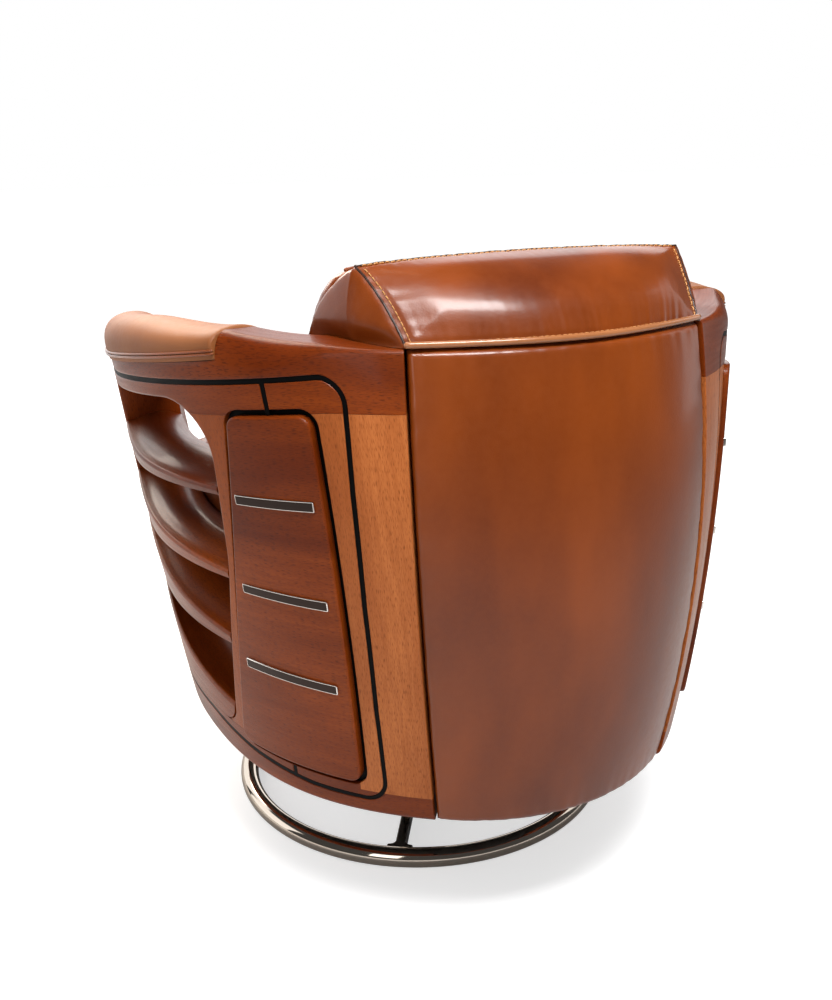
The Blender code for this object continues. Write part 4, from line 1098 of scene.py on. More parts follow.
def grid_faces(rows, columns, offset=0):
    """Quads over a grid that is stored row by row."""
    return [(offset + i * columns + j, offset + (i + 1) * columns + j,
             offset + (i + 1) * columns + j + 1, offset + i * columns + j + 1)
            for i in range(rows - 1) for j in range(columns - 1)]


def wobble(t, seed, terms=7, base=1.0):
    """A smooth irregular wave between about -1 and 1, the same each run."""
    waves = np.random.RandomState(seed)
    total = np.zeros_like(t, float)
    for k in range(1, terms + 1):
        total += waves.uniform(0.5, 1.0) * np.sin(math.tau * (base * k * t + waves.uniform()))
    return total / terms ** 0.5 * 0.8


def walked_along(path):
    """How far along a path each of its points is."""
    return np.concatenate([[0.0], np.cumsum(np.linalg.norm(np.diff(path, axis=0), axis=1))])


def at_distances(distances, walked, values):
    """Points or directions of a path, read off at distances along it."""
    return np.stack([np.interp(distances, walked, column) for column in values.T], axis=-1)


def tube_points(path, radius, sides):
    """Rings of points round a path, narrowing to round ends."""
    path = np.asarray(path, float)
    way = np.gradient(path, axis=0)
    way /= np.linalg.norm(way, axis=1, keepdims=True)
    guide = np.array([0.0, 0.0, 1.0]) if abs(way[0, 2]) < 0.9 else np.array([1.0, 0.0, 0.0])
    rings = []
    for k, point in enumerate(path):
        side = guide - way[k] * guide.dot(way[k])
        side /= np.linalg.norm(side)
        guide = side
        other = np.cross(way[k], side)
        turns = math.tau * np.arange(sides) / sides
        rings.append(point + radius * (np.outer(np.cos(turns), side) + np.outer(np.sin(turns), other)))
    caps = []
    for end, outward in ((0, -1), (-1, 1)):
        caps.append(path[end] + outward * 0.7 * radius * way[end] + 0.45 * (rings[end] - path[end]))
    return [caps[0], *rings, caps[1]]


def ring_faces(count, sides, offset=0):
    """Quads between rings, and a face at each end."""
    faces = []
    for i in range(count - 1):
        for j in range(sides):
            k = (j + 1) % sides
            faces.append((offset + i * sides + j, offset + i * sides + k,
                          offset + (i + 1) * sides + k, offset + (i + 1) * sides + j))
    faces.append(tuple(offset + j for j in reversed(range(sides))))
    faces.append(tuple(offset + (count - 1) * sides + j for j in range(sides)))
    return faces


def piping(name, path, radius):
    """A thin tube along a path, at even spacing."""
    walked = walked_along(path)
    count = max(2, int(round(walked[-1] / PIPING_SPACING)) + 1)
    even = at_distances(np.linspace(0.0, walked[-1], count), walked, path)
    return ring_piece(name, tube_points(even, radius, 12))


def stitches(name, path, outward):
    """Thread along a path: a capsule for each stitch, bowed a little off the leather."""
    walked = walked_along(path)
    bow = np.array([-0.5, 0.7, 1.0, 0.7, -0.5])[:, None]
    points, faces = [], []
    for number in range(int(walked[-1] / STITCH_PITCH)):
        middle = (number + 0.5) * STITCH_PITCH
        at = middle + STITCH_LENGTH * np.linspace(-0.5, 0.5, 5)
        spine, up = at_distances(at, walked, path), at_distances(at, walked, outward)
        rings = tube_points(spine + up * (STITCH_LIFT + STITCH_RADIUS * bow * 0.7), STITCH_RADIUS, 6)
        faces += ring_faces(len(rings), 6, len(points))
        points += [tuple(p) for p in np.concatenate(rings)]
    return mesh_piece(name, points, faces)


print("upholstery helpers ready")

# %% [markdown]
# The back is one hide pulled over a bent board. Its edges are rolled over, it has a slight swell,
# and it is not quite even: hide never is. The joint with the wood stays a dark line, because both
# edges are rounded there.

# %% Panels of leather bent round the tub
BACK_THICK, SKIN_FREE = 0.032, 0.002        # the leather's face starts this deep under the skin
BORDER_TOP, BORDER_DEEP, BORDER_END = 0.322, 0.003, 48.0


def back_marks(a, b, to_side, to_end):
    """The relief of a panel: a slight swell, slow waves, and puckers near its edges."""
    swell = 0.0030 * (4 * a * (1 - a)) ** 0.5 * (4 * b * (1 - b)) ** 0.5
    slow = 0.0010 * np.sin(5.1 * a + 2.0 * b) * np.sin(4.0 * b + 1.0)
    pull_side = 0.0009 * np.exp(-to_side / 0.012) * wobble(b, 3, 9, 2.2)
    pull_end = 0.0007 * np.exp(-to_end / 0.014) * wobble(a, 5, 11, 2.0)
    return swell + slow + pull_side + pull_end


def closer_at_ends(count):
    """Numbers from 0 to 1 that lie closer together at both ends."""
    t = np.linspace(0, 1, count)
    return 0.55 * t + 0.45 * (0.5 - 0.5 * np.cos(math.pi * t))


def padded_panel(name, span, low, high, near, roll, columns, rows):
    """A leather panel with rolled edges, over the angles that span gives for a height."""
    a, b = np.meshgrid(closer_at_ends(columns), closer_at_ends(rows), indexing="ij")
    z = low + (high - low) * b
    start, end = span(z)
    u = along(start) + (along(end) - along(start)) * a
    wide = along(end) - along(start)
    to_side = np.minimum(a, 1 - a) * wide
    to_end = np.minimum(b, 1 - b) * (high - low)
    out = np.hypot(np.maximum(roll - to_side, 0), np.maximum(roll - to_end, 0))
    rolled = roll - np.sqrt(np.maximum(roll ** 2 - np.minimum(out, roll) ** 2, 0))
    face = on_barrel(np.stack([u, near + rolled - back_marks(a, b, to_side, to_end), z], axis=-1))
    rear = on_barrel(np.stack([u, np.full_like(u, near + BACK_THICK - SKIN_FREE), z], axis=-1))
    count = columns * rows
    faces = grid_faces(columns, rows) + [f[::-1] for f in grid_faces(columns, rows, count)]
    rim = [i * rows for i in range(columns)] + [(columns - 1) * rows + j for j in range(1, rows)]
    rim += [i * rows + rows - 1 for i in range(columns - 2, -1, -1)] + [j for j in range(rows - 2, 0, -1)]
    faces += [(rim[k - 1], rim[k], rim[k] + count, rim[k - 1] + count) for k in range(len(rim))]
    return mesh_piece(name, np.concatenate([face.reshape(-1, 3), rear.reshape(-1, 3)]), faces)


def back_span(z):
    """The back's two sides, in degrees."""
    joint = through_three(BACK_JOINT, z) + 0.12
    return joint, 180 - joint


def border_span(z):
    """The front border's two sides, in degrees, the same at every height."""
    return BORDER_END - 180 + 0 * z, -BORDER_END + 0 * z


back = padded_panel("back_panel_leather", back_span, HEIGHT_BOTTOM, RAIL_TOP - 0.0015, SKIN_FREE,
                    0.0065, 150, 110)
dress_leather(back, LEATHER, "back_panel")
border = padded_panel("front_border_leather", border_span, HEIGHT_BOTTOM, BORDER_TOP,
                      BORDER_DEEP + SKIN_FREE, 0.006, 120, 60)
dress_leather(border, LEATHER, "front_border")

# %% [markdown]
# The headrest is a roll that leans forwards to a stitched edge. Its rear face and its front face
# are two curves that meet at that edge, its ends are puffed gussets, and every seam has a row of
# stitches beside it. All of it is one grid of rings, so the relief can be worked out from the
# distance to each seam.

# %% The headrest
HEAD_COLUMNS, HEAD_REAR, HEAD_FRONT = 151, 45, 30
GUSSET_PUFF = 0.010
SIDE_STITCH, FOOT_STITCH, EDGE_STITCH = 0.0045, 0.0070, 0.0040   # distances of stitches from seams
SIDE_STRAIGHT = 0.55                    # how much straighter the roll is at its ends
SIDE_LEAN = 0.14                        # how far its ends lean in, for each metre up
EDGE_Y, EDGE_CURVE = 0.281, 0.004       # where its upper edge runs, and how far it bows forwards


def bezier(start, middle, end, f):
    """A quadratic curve."""
    return (1 - f) ** 2 * start + 2 * f * (1 - f) * middle + f * f * end


def headrest_side(y, z):
    """Half the headrest's width at a point of its end."""
    return headrest_half(y) - SIDE_LEAN * (z - HEADREST_FOOT)


def headrest_ring(s):
    """The section of the headrest at s across it, as y and z, from the rear foot to the front foot."""
    bulge = 1 - s * s
    rear_y = skin_point(np.radians(90 - (90 - BACK_JOINT[2]) * s), RAIL_TOP)[1] - 0.001
    edge_y, edge_z = EDGE_Y - EDGE_CURVE * bulge, HEADREST_EDGE + HEADREST_RISE * bulge
    foot, foot_front = HEADREST_FOOT, BACK_BOARD_Y + 2 * GAP
    full = 1 - SIDE_STRAIGHT * abs(s) ** 6
    middle_y, middle_z = 0.5 * (rear_y + edge_y), 0.5 * (foot + edge_z)
    shoulder_y = middle_y + full * (rear_y - 0.030 - middle_y)
    shoulder_z = middle_z + full * (edge_z - 0.014 - middle_z)
    f = np.linspace(0, 1, HEAD_REAR)
    rear = np.stack([bezier(rear_y, shoulder_y, edge_y, f), bezier(foot, shoulder_z, edge_z, f)], 1)
    f = np.linspace(0, 1, HEAD_FRONT)[1:]
    front = np.stack([bezier(edge_y, foot_front + 0.004, foot_front, f),
                      bezier(edge_z, edge_z - 0.030, foot, f)], 1)
    return np.concatenate([rear, front])


def headrest():
    """The leather headrest, and the grid of its rear face with its normals."""
    across = np.linspace(-1, 1, HEAD_COLUMNS)
    sections = np.stack([headrest_ring(s) for s in across])
    y, z = sections[..., 0], sections[..., 1]
    half = headrest_side(y, z)
    grid = np.stack([across[:, None] * half, y, z], axis=-1)
    normals = grid_normals(grid)
    steps = np.linalg.norm(np.diff(grid, axis=1), axis=-1)
    walked = np.concatenate([np.zeros((HEAD_COLUMNS, 1)), np.cumsum(steps, axis=1)], axis=1)
    edge = walked[:, HEAD_REAR - 1][:, None]
    to_side = (1 - np.abs(across))[:, None] * half
    to_edge = np.abs(walked - edge)
    to_foot = np.minimum(walked, walked[:, -1:] - walked)
    nearest = np.minimum(np.minimum(to_side, to_edge), to_foot)
    swell = 0.0050 * smooth_step(np.clip(nearest / 0.045, 0, 1))
    pull = -0.0016 * np.exp(-nearest / 0.0030)
    sunk = sum(-0.0008 * np.exp(-((distance - inset) / 0.0016) ** 2) for distance, inset in
               ((to_side, SIDE_STITCH), (to_foot, FOOT_STITCH), (to_edge, EDGE_STITCH)))
    t = (across[:, None] + 1) / 2 + 0 * y
    pucker = 0.0007 * np.exp(-to_foot / 0.020) * wobble(t, 11, 14, 3.0)
    pucker += 0.0005 * np.exp(-to_edge / 0.015) * wobble(t, 12, 14, 3.0)
    pucker += 0.0006 * np.exp(-to_side / 0.016) * wobble(walked / 0.12, 13, 6, 1.5)
    slow = 0.0016 * np.sin(3.1 * t + 1.0) * np.sin(7.0 * t + 0.6)
    slow = slow * smooth_step(np.clip(nearest / 0.03, 0, 1))
    facing = np.sum(normals * (grid - grid.mean(axis=(0, 1))), axis=-1, keepdims=True)
    normals = normals * np.where(facing < 0, -1, 1)
    grid = grid + normals * (swell + pull + sunk + pucker + slow)[..., None] * (to_foot > 0)[..., None]
    rings = list(grid)
    foot_y = 0.5 * (grid[0, 0, 1] + grid[0, -1, 1])
    for end, way in ((0, -1), (-1, 1)):
        for lean in np.radians(np.arange(1, 9) * 11.25).tolist():
            shrink = math.cos(lean) * 0.985 + 0.015
            ring = grid[end].copy()
            ring[:, 1] = foot_y + (ring[:, 1] - foot_y) * shrink
            ring[:, 2] = HEADREST_FOOT + (ring[:, 2] - HEADREST_FOOT) * shrink
            rise = smooth_step(np.clip((ring[:, 2] - HEADREST_FOOT) / 0.022, 0, 1))
            puffed = GUSSET_PUFF * math.sin(lean) * rise
            ring[:, 0] = way * (headrest_side(ring[:, 1], ring[:, 2]) + puffed)
            rings.append(ring) if way > 0 else rings.insert(0, ring)
    return ring_piece("headrest_leather", rings), grid, normals


head, head_grid, head_normals = headrest()
dress_leather(head, LEATHER, "headrest")

# %% [markdown]
# Waxed thread shows beside a seam as a row of short bows, and a near-black cord closes the seam
# itself: its colour is painted shade, the shade in the seam's crease. Both follow the rows and
# columns of the headrest's own grid, so they lie on the leather.

# %% Stitches and piping of the headrest


def column_near(distance):
    """The grid column that lies that far in from the headrest's end."""
    half = headrest_half(HEADREST_BACK)
    return max(1, int(round(distance / half * (HEAD_COLUMNS - 1) / 2)))


def row_near(distance, from_edge):
    """The row of the rear face that lies that far from its edge or its foot."""
    walked = walked_along(head_grid[HEAD_COLUMNS // 2, :HEAD_REAR])
    wanted = walked[-1] - distance if from_edge else distance
    return int(np.argmin(np.abs(walked - wanted)))


inset = column_near(SIDE_STITCH)
edge_row, foot_row = row_near(EDGE_STITCH, True), row_near(FOOT_STITCH, False)
between_ends, up_to_edge = slice(inset, -inset), slice(2, edge_row)
for side, where in (("edge", (between_ends, edge_row)), ("foot", (between_ends, foot_row)),
                    ("left", (-1 - inset, up_to_edge)), ("right", (inset, up_to_edge))):
    dress_leather(stitches(f"headrest_{side}_stitches", head_grid[where], head_normals[where]), THREAD)
for side, path in (("left", head_grid[-1, 1:HEAD_REAR]), ("right", head_grid[0, 1:HEAD_REAR]),
                   ("edge", head_grid[:, HEAD_REAR - 1])):
    # The cords' near-black colour is painted shade in the seams' creases.
    dress_leather(piping(f"headrest_{side}_seam", path, 0.0013), SEAM_CORD_PAINTED_SHADE)
foot_line = head_grid[:, 0] + np.array([0.0, -0.0012, 0.0032])
dress_leather(piping("headrest_foot_welt", foot_line, 0.0034), BEAD)

# %% [markdown]
# The arm pad is a long crowned shape with a round nose. Its section is flat below and arched
# above, and it narrows into the wood at a slanted joint. Two thin welts run round its foot.

# %% The arm pads


def pad_ring(u, width, height, slant=0.0):
    """One section of the arm pad: flat below, crowned above."""
    middle = 0.5 * ARM_THICK
    half = (middle + PAD_PROUD) * width
    foot = pad_seat(u) + GAP
    high = PAD_SEAT + (PAD_TOP - PAD_SEAT) * height
    top = high - 0.35 * (1 - height) * (PAD_SEAT - foot)
    turns = np.linspace(0, math.pi, 33)
    shoulder = foot + PAD_WELTS
    depth = middle - half * np.cos(turns)
    z = shoulder + (top - shoulder) * np.sin(turns) ** 0.7
    depth = np.concatenate([[middle + 0.96 * half, middle - 0.96 * half], depth])
    z = np.concatenate([[foot, foot], z])
    return np.stack([u + slant * depth, depth, z], axis=-1)


def arm_pad():
    """The sections of the left arm pad, from its nose to its joint."""
    nose = 0.5 * ARM_THICK + PAD_PROUD
    front, back = along(ARM_FRONT) - PAD_PROUD, along(PAD_BACK) - END_GAP
    rings = []
    for k in range(1, 15):
        lean = math.radians(90 * k / 15)
        width = math.sin(lean)
        rings.append(pad_ring(front + nose * (1 - math.cos(lean)), width, 0.45 + 0.55 * width))
    for u in np.arange(front + nose, back - 0.012, 0.006):
        rings.append(pad_ring(u, 1 - PAD_NARROWER * smooth_step(between(u, along(15), back)),
                              1 - PAD_LOWER * smooth_step(between(u, along(5), back)),
                              PAD_SLANT * smooth_step(between(u, along(-10), back - 0.012))))
    for step, width, height in ((0.006, 1, 1), (0.003, 0.995, 0.985), (0.0012, 0.985, 0.955),
                                (0.0, 0.96, 0.90)):
        rings.append(pad_ring(back - step, width * (1 - PAD_NARROWER), height * (1 - PAD_LOWER), PAD_SLANT))
    return on_barrel(np.stack(rings))


def welt_pair(name, path, radius):
    """A welt on the left and its mirror image."""
    welt = piping(f"{name}_left", path, radius)
    for each in (welt, mirrored(welt, f"{name}_right")):
        dress_leather(each, PIPING)


rings = arm_pad()
dress_pair(ring_piece("arm_pad_left_leather", rings), "arm_pad", PAD_LEATHER, "leather", "leather")
foot_path = np.concatenate([rings[:, 2][::-1], rings[:, -1]])
for level, drop in (("upper", 0.0004), ("lower", 0.0038)):
    welt_pair(f"arm_pad_{level}_welt", foot_path + np.array([0.0, 0.0, -drop]), 0.0014)

# %% [markdown]
# Inside each arm a padded board is covered in leather: low beside the shelves, then rising to
# meet the back. Its top edge is rolled, and a welt closes it.

# %% The inner arms
INNER_FACE, INNER_ARM_THICK = 0.0765, 0.021
INNER_ARM_TOP, INNER_ARM_HIGH, INNER_ARM_DIP = 0.532, 0.655, 0.035
INNER_ARM_RISE, INNER_ARM_BACK = (27.0, 36.0), 37.5
INNER_ARM_START, INNER_ARM_STEP, INNER_ARM_ROLL = 0.030, 0.005, 0.012
BOARD_TOP = 0.1757


def inner_arm():
    """The left inner arm and the line of its top edge."""
    near, far = INNER_FACE, INNER_FACE + INNER_ARM_THICK
    front, back = along(ARM_FRONT) + INNER_ARM_START, along(INNER_ARM_BACK)
    rings, top_line = [], []
    for u in np.arange(front, back, INNER_ARM_STEP):
        climb = smooth_step(between(u, along(INNER_ARM_RISE[0]), along(INNER_ARM_RISE[1])))
        dip = INNER_ARM_DIP * smooth_step(between(u, along(-2), along(-24)))
        top = INNER_ARM_TOP - dip + (INNER_ARM_HIGH - INNER_ARM_TOP) * climb
        ease = min(1.0, (u - front) / INNER_ARM_ROLL + 0.25)
        heights = np.concatenate([[BOARD_TOP + GAP], np.linspace(0.22, top - 0.020, 24)])
        outer = [(near, z) for z in heights]
        lean = np.linspace(0, math.pi, 13)
        middle, half = 0.5 * (near + far), 0.5 * (far - near) * (0.6 + 0.4 * ease)
        crown = [(middle - half * math.cos(a), top - INNER_ARM_ROLL + INNER_ARM_ROLL * math.sin(a))
                 for a in lean]
        fullness = np.sin(math.pi * np.clip((heights - 0.30) / (top - 0.30), 0, 1)) ** 0.7 * 0.004 * ease
        inner = [(middle + half + more, z) for more, z in zip(fullness, heights)][::-1]
        rings.append([(u, d, z) for d, z in outer + crown + inner])
        top_line.append((u, middle - 0.2 * half, top + 0.0002))
    return ring_piece("inner_arm_left_leather", on_barrel(rings)), on_barrel(top_line)


arm, arm_line = inner_arm()
dress_pair(arm, "inner_arm", LEATHER, "leather", "leather")
welt_pair("inner_arm_welt", arm_line, 0.0022)

# %% [markdown]
# ## The cushions
# The seat and back cushions are covers filled with foam. A crowned shape is drawn first, a little
# slack. Then cloth simulation blows it up: pressure inside, no gravity, and a cap on how far a
# point may move, so that the cushion keeps to its space. The creases at the seams come from that.

# %% Filling a cover
COVER_PRESSURE, COVER_VOXEL, COVER_FRAMES = 3.0, 0.0055, 20


def fill_cover(piece, cap, held):
    """Blow a cover up as cloth, no point further than the cap; held tells which points stay."""
    remesh = piece.modifiers.new("even mesh", "REMESH")
    remesh.mode = "VOXEL"
    remesh.voxel_size = COVER_VOXEL
    keep_modified(piece)
    start = points_of(piece.data)
    cloth = piece.modifiers.new("cover", "CLOTH")
    cloth.settings.quality = 4
    cloth.settings.use_pressure = True
    cloth.settings.uniform_pressure_force = COVER_PRESSURE
    cloth.settings.effector_weights.gravity = 0.0
    cloth.settings.tension_stiffness = 25.0
    cloth.settings.compression_stiffness = 25.0
    cloth.settings.bending_stiffness = 0.8
    cloth.settings.shrink_min = -0.015
    group = piece.vertex_groups.new(name="held")
    group.add([int(k) for k in np.nonzero(held(start))[0]], 1.0, "REPLACE")
    cloth.settings.vertex_group_mass = "held"
    for step in range(1, COVER_FRAMES + 1):
        bpy.context.scene.frame_set(step)
    graph = bpy.context.evaluated_depsgraph_get()
    moved = points_of(piece.evaluated_get(graph).data)
    piece.modifiers.clear()
    piece.vertex_groups.clear()
    shift = moved - start
    length = np.linalg.norm(shift, axis=1, keepdims=True)
    shift *= np.minimum(1.0, cap / np.maximum(length, 1e-9))
    set_points(piece.data, start + shift)
    bpy.context.scene.frame_set(1)
    return float(np.linalg.norm(shift, axis=1).max())


def finish_cushion(piece, node, cap, held):
    moved = fill_cover(piece, cap, held)
    print(node, "swelled by", round(moved * 1000, 1), "mm")
    piece.modifiers.new("smoother", "SUBSURF").levels = 1
    keep_modified(piece)
    dress_leather(piece, LEATHER, node)


print("cover filling ready")

# %% [markdown]
# The seat cushion is a box of leather with a crowned top and a welt at its edge. Its outline
# follows the inner arms and, in front, the tub. Its top seam and its foot are held as it fills.

# %% The seat cushion
SEAT_DECK, SEAT_EDGE, SEAT_BACK = 0.330, 0.432, 0.130
SEAT_CENTRE = np.array([0.0, -0.13])
SEAT_SPREAD, SEAT_SET_IN = 1.035, 0.0106


def closed_path(points, count):
    """A closed outline resampled to an even count of points."""
    loop = np.concatenate([points, points[:1]])
    walked = walked_along(loop)
    return at_distances(np.linspace(0, walked[-1], count, endpoint=False), walked, loop)


def eased(loop, times):
    """A closed path with its corners eased."""
    for _ in range(times):
        loop = 0.5 * loop + 0.25 * (np.roll(loop, 1, axis=0) + np.roll(loop, -1, axis=0))
    return loop


def seat_outline():
    """The seat cushion's outline in plan: the arms at its sides, the tub's curve in front."""
    inside = INNER_FACE + INNER_ARM_THICK + 0.008
    side = on_barrel([(along(a), inside, SEAT_DECK) for a in np.arange(-43, 17, 3.0)])[:, :2]
    front = on_barrel([(along(a), SEAT_SET_IN, SEAT_EDGE) for a in np.arange(-56, -91, -3.0)])[:, :2]
    right = np.concatenate([[(side[-1][0] - 0.016, SEAT_BACK - 0.002)], side[::-1], front])
    return eased(closed_path(np.concatenate([right, (right * (-1, 1))[::-1]]), 200), 12)


def seat_cushion():
    """The slack cover of the seat cushion and its top seam."""
    outline = seat_outline()
    profile = ((0.90, SEAT_DECK + 0.0015), (0.965, SEAT_DECK + 0.003), (0.99, SEAT_DECK + 0.012),
               (1.005, SEAT_DECK + 0.035), (1.012, SEAT_DECK + 0.065), (1.022, SEAT_EDGE - 0.014),
               (SEAT_SPREAD - 0.004, SEAT_EDGE - 0.003), (SEAT_SPREAD - 0.008, SEAT_EDGE + 0.003),
               (0.98, SEAT_EDGE + 0.010), (0.92, SEAT_EDGE + 0.016), (0.80, SEAT_EDGE + 0.021),
               (0.60, SEAT_EDGE + 0.025), (0.40, SEAT_EDGE + 0.027), (0.20, SEAT_EDGE + 0.028),
               (0.06, SEAT_EDGE + 0.028))
    rings = [np.insert(SEAT_CENTRE + (outline - SEAT_CENTRE) * scale, 2, z, axis=1)
             for scale, z in (*profile, (SEAT_SPREAD - 0.002, SEAT_EDGE))]
    return ring_piece("seat_cushion_leather", rings[:-1]), rings[-1]


def seat_held(p):
    """The points of the seat's cover that stay: its top seam and its foot."""
    return (np.abs(p[:, 2] - SEAT_EDGE) < 0.004) | (p[:, 2] < SEAT_DECK + 0.006)


cushion, seam = seat_cushion()
finish_cushion(cushion, "seat_cushion", 0.006, seat_held)
dress_leather(piping("seat_cushion_welt", np.concatenate([seam, seam[:1]]), 0.0030), PIPING)

# %% [markdown]
# The back cushion stands against the inner board and narrows above the rail. It is drawn as
# level sections, and only its rear and its foot are held as it fills.

# %% The back cushion
BACK_CUSHION_TOP, BACK_CUSHION_LEAN, LEAN_FROM = 0.750, 0.10, 0.686
BACK_CUSHION_Y = (0.157, 0.122, 0.182)


def back_cushion():
    """The slack cover of the back cushion, and the line of its top edge."""
    seat, waist, top = BACK_CUSHION_Y
    stations = ((SEAT_DECK + 0.002, 0.95, seat + 0.016), (SEAT_DECK + 0.02, 0.985, seat + 0.004),
                (SEAT_EDGE + 0.02, 0.985, seat), (0.52, 0.985, waist + 0.003),
                (0.60, 0.985, waist + 0.014), (0.66, 0.98, waist + 0.033),
                (LEAN_FROM, 0.978, top - 0.017), (0.705, 0.990, top - 0.007),
                (0.729, 0.948, top + 0.003), (BACK_CUSHION_TOP - 0.007, 0.898, top + 0.010),
                (BACK_CUSHION_TOP - 0.001, 0.838, top + 0.021))
    heights, widths, fronts = [np.array(column) for column in zip(*stations)]
    inside = INNER_FACE + INNER_ARM_THICK + 0.003
    rings = []
    for z in np.linspace(heights[0], heights[-1], 70):
        width, front = np.interp(z, heights, widths), np.interp(z, heights, fronts)
        rear = BACK_BOARD_Y - 2 * GAP + BACK_CUSHION_LEAN * max(z - LEAN_FROM, 0.0)
        level = min(z, INNER_ARM_HIGH)
        half = on_barrel([(along(INNER_ARM_BACK), inside, level)])[0, 0] * width - 0.005
        side_face = 0.30 * front + 0.70 * rear
        s = np.sin(np.linspace(-math.pi / 2, math.pi / 2, 61))
        face = front - 0.012 * (1 - s * s) + (side_face - front) * np.abs(s) ** 8
        rings.append([(-half + 0.002, rear, z), *[(half * t, y, z) for t, y in zip(s, face)],
                      (half - 0.002, rear, z)])
    return ring_piece("back_cushion_leather", rings), np.array(rings[-1])[2:-2]


def back_held(p):
    """The points of the back's cover that stay: its rear and its foot."""
    return (p[:, 1] > BACK_BOARD_Y - 0.012) | (p[:, 2] < SEAT_DECK + 0.006)


cushion, top_edge = back_cushion()
finish_cushion(cushion, "back_cushion", 0.005, back_held)
dress_leather(piping("back_cushion_welt", top_edge, 0.0022), PIPING)

# %% [markdown]
# ## The base
# The ring is a bent tube, so it is a true torus here. Its four flat spokes widen where they are
# welded to it, and they meet at a turned hub that carries the column. Chrome only looks like
# chrome with smooth normals, so these pieces are turned and swept finely.

# %% The ring, the hub and the spokes
RING_RADIUS, TUBE_RADIUS = 0.25, 0.0125
RING_STEPS, TUBE_STEPS, HUB_STEPS = 192, 40, 96
SPOKE_WIDE, SPOKE_FLARE, SPOKE_FOOT, SPOKE_HEAD, SPOKE_TURN = 0.013, 0.010, 0.004, 0.0225, 57.5
HUB_RADIUS, COLUMN_RADIUS, COLUMN_TOP = 0.055, 0.030, 0.1367


def base_ring():
    """The chrome ring, a torus that stands on the floor."""
    turns = math.tau * np.arange(RING_STEPS) / RING_STEPS
    leans = math.tau * np.arange(TUBE_STEPS) / TUBE_STEPS
    turn, lean = np.meshgrid(turns, leans, indexing="ij")
    out = RING_RADIUS + TUBE_RADIUS * np.sin(lean)
    height = np.maximum(TUBE_RADIUS * (0.985 - np.cos(lean)), 0.0)
    points = np.stack([out * np.cos(turn), out * np.sin(turn), height], axis=-1)
    faces = []
    for i in range(RING_STEPS):
        here, ahead = i * TUBE_STEPS, (i + 1) % RING_STEPS * TUBE_STEPS
        for j in range(TUBE_STEPS):
            k = (j + 1) % TUBE_STEPS
            faces.append((here + j, ahead + j, ahead + k, here + k))
    return mesh_piece("base_ring_chrome", points.reshape(-1, 3), faces)


def column_and_hub():
    """The column with its hub, turned from radii and heights."""
    profile = ((HUB_RADIUS - 0.002, SPOKE_FOOT), (HUB_RADIUS, SPOKE_FOOT + 0.002),
               (HUB_RADIUS, SPOKE_HEAD - 0.003), (HUB_RADIUS - 0.001, SPOKE_HEAD - 0.001),
               (HUB_RADIUS - 0.004, SPOKE_HEAD + 0.001), (COLUMN_RADIUS + 0.008, SPOKE_HEAD + 0.003),
               (COLUMN_RADIUS + 0.004, SPOKE_HEAD + 0.005), (COLUMN_RADIUS + 0.001, SPOKE_HEAD + 0.010),
               (COLUMN_RADIUS, SPOKE_HEAD + 0.018), (COLUMN_RADIUS, COLUMN_TOP))
    turns = math.tau * np.arange(HUB_STEPS) / HUB_STEPS
    rings = [np.stack([radius * np.cos(turns), radius * np.sin(turns), np.full(HUB_STEPS, z)], axis=-1)
             for radius, z in profile]
    return ring_piece("swivel_column_chrome", rings)


def spoke(number):
    """One flat spoke: fillets at the ring, eased upper edges."""
    half, reach = 0.5 * SPOKE_WIDE, RING_RADIUS - 0.5 * TUBE_RADIUS
    fillet = reach - 0.5 * TUBE_RADIUS
    side = [(HUB_RADIUS - 0.002, half)]
    for a in np.radians(np.arange(0, 91, 9.0)):
        side.append((fillet - SPOKE_FLARE + SPOKE_FLARE * math.sin(a),
                     half + SPOKE_FLARE - SPOKE_FLARE * math.cos(a)))
    side += [(reach + 0.002, half + SPOKE_FLARE)]
    turn = math.radians(SPOKE_TURN + 90 * number)
    turning = np.array([[math.cos(turn), math.sin(turn)], [-math.sin(turn), math.cos(turn)]])
    levels = []
    for z, inset in ((SPOKE_FOOT, 0.001), (SPOKE_FOOT + 0.001, 0.0), (SPOKE_HEAD - 0.0018, 0.0),
                     (SPOKE_HEAD - 0.0006, 0.0006), (SPOKE_HEAD, 0.0018)):
        near = [(x, y - inset) for x, y in side]
        outline = np.array(near + [(x, -y) for x, y in reversed(near)]) @ turning
        levels.append([(x, y, z) for x, y in outline])
    return solid_from(levels, f"spoke_{number + 1}_chrome")


dress(base_ring(), CHROME, "base", "chrome", "base_ring", even_normals=False)
for number in range(4):
    # The spokes' dark chrome is painted reflection.
    dress(spoke(number), SPOKE_CHROME_PAINTED_DARK, "base", "chrome", f"spoke_{number + 1}")
dress(column_and_hub(), CHROME, "base", "chrome", "swivel_column")
print("base dressed")

# %% [markdown]
# What is inside keeps its solids, because their shape is right. The boards behind the back get
# plywood, the frame round the seat is covered in a dark lining, the plates and bolts are steel,
# and the base board is black, as undersides are.

# %% Materials for the solids that stay
STAYING = ((PLYWOOD, ("back_frame", "inner_back_board")),
           (LINING, ("front_frame", "seat_deck", "seat_drum")),
           (STEEL, ("plate_bolt_1", "plate_bolt_2", "plate_bolt_3", "plate_bolt_4",
                    "swivel_plate_lower", "swivel_plate_upper", "swivel_race")),
           (DARK_BOARD, ("base_board",)))
for finish, nodes in STAYING:
    for node in nodes:
        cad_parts[node].material_slots[0].material = finish
    print(finish.name, "on", len(nodes), "solids")

# %% [markdown]
# ## Floor, light and camera
# The floor and the world are white to the camera. As light the world is softer, and reflections
# see it dim, so the sheen comes from seven soft boxes: over the roll, over the arms and the
# shelves, beside the camera, at both sides, and in front of the chair.

